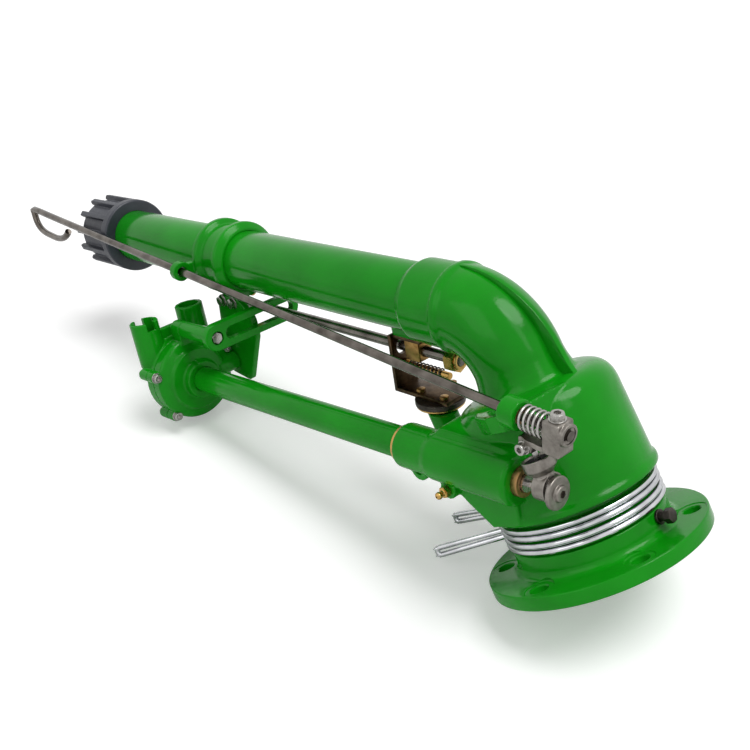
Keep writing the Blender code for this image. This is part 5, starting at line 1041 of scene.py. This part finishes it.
KEPT = {
    "wheel_spacer": DARK_STEEL, "worm_wheel": BRONZE, "riser_nut": SHAFT_STEEL, "upper_bearing": SHAFT_STEEL,
    "top_seal": RUBBER, "lower_bush": BRONZE, "worm": SHAFT_STEEL, "drive_shaft": SHAFT_STEEL,
    "turbine_wheel": SLATE, "front_bush": BRONZE, "stream_straightener": SLATE,
}


def kept_nodes():
    for name, look in KEPT.items():
        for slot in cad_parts[name].material_slots:
            slot.material = look


# Studio: a pale floor that the gun lies on as it does in the photograph, soft lamps and the camera

GROUND_UP = Vector((-0.542, 0.0, 0.839)).normalized()
CAMERA_AT = Vector((-0.55258, 0.52459, 0.27133))
CAMERA_RIGHT = Vector((-0.55768, -0.72377, -0.40640))
CAMERA_DOWN = Vector((0.17113, 0.37883, -0.90951))
CAMERA_AHEAD = Vector((0.81223, -0.57676, -0.08741))
LENS = 46.25
SENSOR = 36.0
FLOOR_HALF = 6.0
FLOOR_WHITE = 0.86
FLOOR_GLOW = 0.3
WORLD_LEVEL = 0.4
KEY_STRENGTH = 1.75
KEY_SPREAD = 32.0
STRIP_POWER = 1.8
FILL_POWER = 2.4
CENTRE = Vector((0.24, 0.03, 0.24))


def math_node(tree, operation, first, second):
    node = add_node(tree, "Math", {0: first, 1: second})
    node.operation = operation
    return node.outputs["Value"]


def floor_material():
    """A pale floor that glows a little to the camera alone, and that isn't seen from below."""
    made = bpy.data.materials.new("pale_floor")
    made.use_nodes = True
    tree = made.node_tree
    tree.nodes.clear()
    diffuse = add_node(tree, "BsdfDiffuse", {"Color": (FLOOR_WHITE, FLOOR_WHITE, FLOOR_WHITE, 1.0)})
    seen = add_node(tree, "LightPath", {}).outputs["Is Camera Ray"]
    glow = add_node(tree, "Emission", {"Strength": math_node(tree, "MULTIPLY", seen, FLOOR_GLOW)})
    lit = add_node(tree, "AddShader", {0: diffuse.outputs["BSDF"], 1: glow.outputs["Emission"]})
    below = add_node(tree, "NewGeometry", {}).outputs["Backfacing"]
    clear = add_node(tree, "BsdfTransparent", {}).outputs["BSDF"]
    mix = add_node(tree, "MixShader", {0: below, 1: lit.outputs["Shader"], 2: clear})
    add_node(tree, "OutputMaterial", {"Surface": mix.outputs["Shader"]})
    return made


def studio_floor():
    lowest = min(GROUND_UP.dot(vertex.co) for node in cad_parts.values()
                 for vertex in node.data.vertices)
    home = frame_from((0.0, 0.0, 0.0), GROUND_UP)
    home.translation = GROUND_UP * (lowest - 0.0005) + CENTRE - GROUND_UP * GROUND_UP.dot(CENTRE)
    shape = bmesh.new()
    corners = ((-1, -1), (1, -1), (1, 1), (-1, 1))
    shape.faces.new([shape.verts.new((x * FLOOR_HALF, y * FLOOR_HALF, 0.0)) for x, y in corners])
    data = bpy.data.meshes.new("studio_floor")
    shape.to_mesh(data)
    shape.free()
    data.materials.append(floor_material())
    item = linked("studio_floor", data)
    item.matrix_world = home


def lamp(name, spot, size, power):
    data = bpy.data.lights.new(name, "AREA")
    data.shape = "RECTANGLE"
    data.size = size[0]
    data.size_y = size[1]
    data.energy = power
    item = linked(name, data)
    item.location = spot
    item.rotation_euler = (CENTRE - Vector(spot)).to_track_quat("-Z", "Y").to_euler()


def studio_world():
    world = bpy.data.worlds.new("studio")
    world.use_nodes = True
    tree = world.node_tree
    ground = tree.nodes["Background"]
    ground.inputs["Color"].default_value = (1.0, 1.0, 1.0, 1.0)
    path = add_node(tree, "LightPath", {}).outputs
    seen = math_node(tree, "MAXIMUM", path["Is Camera Ray"], path["Is Glossy Ray"])
    either = math_node(tree, "MAXIMUM", seen, path["Is Transmission Ray"])
    level = add_node(tree, "MapRange", {"Value": either, "To Min": WORLD_LEVEL, "To Max": 1.0})
    tree.links.new(level.outputs["Result"], ground.inputs["Strength"])
    bpy.context.scene.world = world


def studio():
    studio_floor()
    studio_world()
    left = -CAMERA_RIGHT
    sun = bpy.data.lights.new("key", "SUN")
    sun.energy = KEY_STRENGTH
    sun.angle = math.radians(KEY_SPREAD)
    towards = GROUND_UP - left * 0.35 - CAMERA_AHEAD * 0.15
    linked("key", sun).rotation_euler = towards.to_track_quat("Z", "Y").to_euler()
    lamp("strip", CENTRE + GROUND_UP * 0.75 - left * 0.55 - CAMERA_AHEAD * 0.9, (0.25, 1.1), STRIP_POWER)
    lamp("fill", CENTRE + GROUND_UP * 0.35 + left * 0.9 - CAMERA_AHEAD * 0.9, (0.9, 0.9), FILL_POWER)
    data = bpy.data.cameras.new("photo_view")
    data.sensor_width = SENSOR
    data.lens = LENS
    data.dof.use_dof = False
    camera = linked("photo_view", data)
    turn = Matrix((CAMERA_RIGHT, -CAMERA_DOWN, -CAMERA_AHEAD)).transposed()
    camera.matrix_world = Matrix.Translation(CAMERA_AT) @ turn.to_4x4()
    bpy.context.scene.camera = camera
    bpy.context.scene.view_settings.view_transform = "Standard"


def build():
    base_flange()
    ring("lower_wire_ring", "stop_ring_lower", "lower_ring", 27.0, 136.0, RING_LOW)
    next_low = RING_LOW + 2 * RING_PITCH + RING_GAP
    ring("upper_wire_ring", "stop_ring_upper", "upper_ring", 9.0, 134.0, next_low)
    gun_body()
    barrel()
    nozzle_cap()
    drive_side()
    switch()
    reverser()
    trip()
    crank()
    jet_breaker()
    kept_nodes()
    studio()


build()
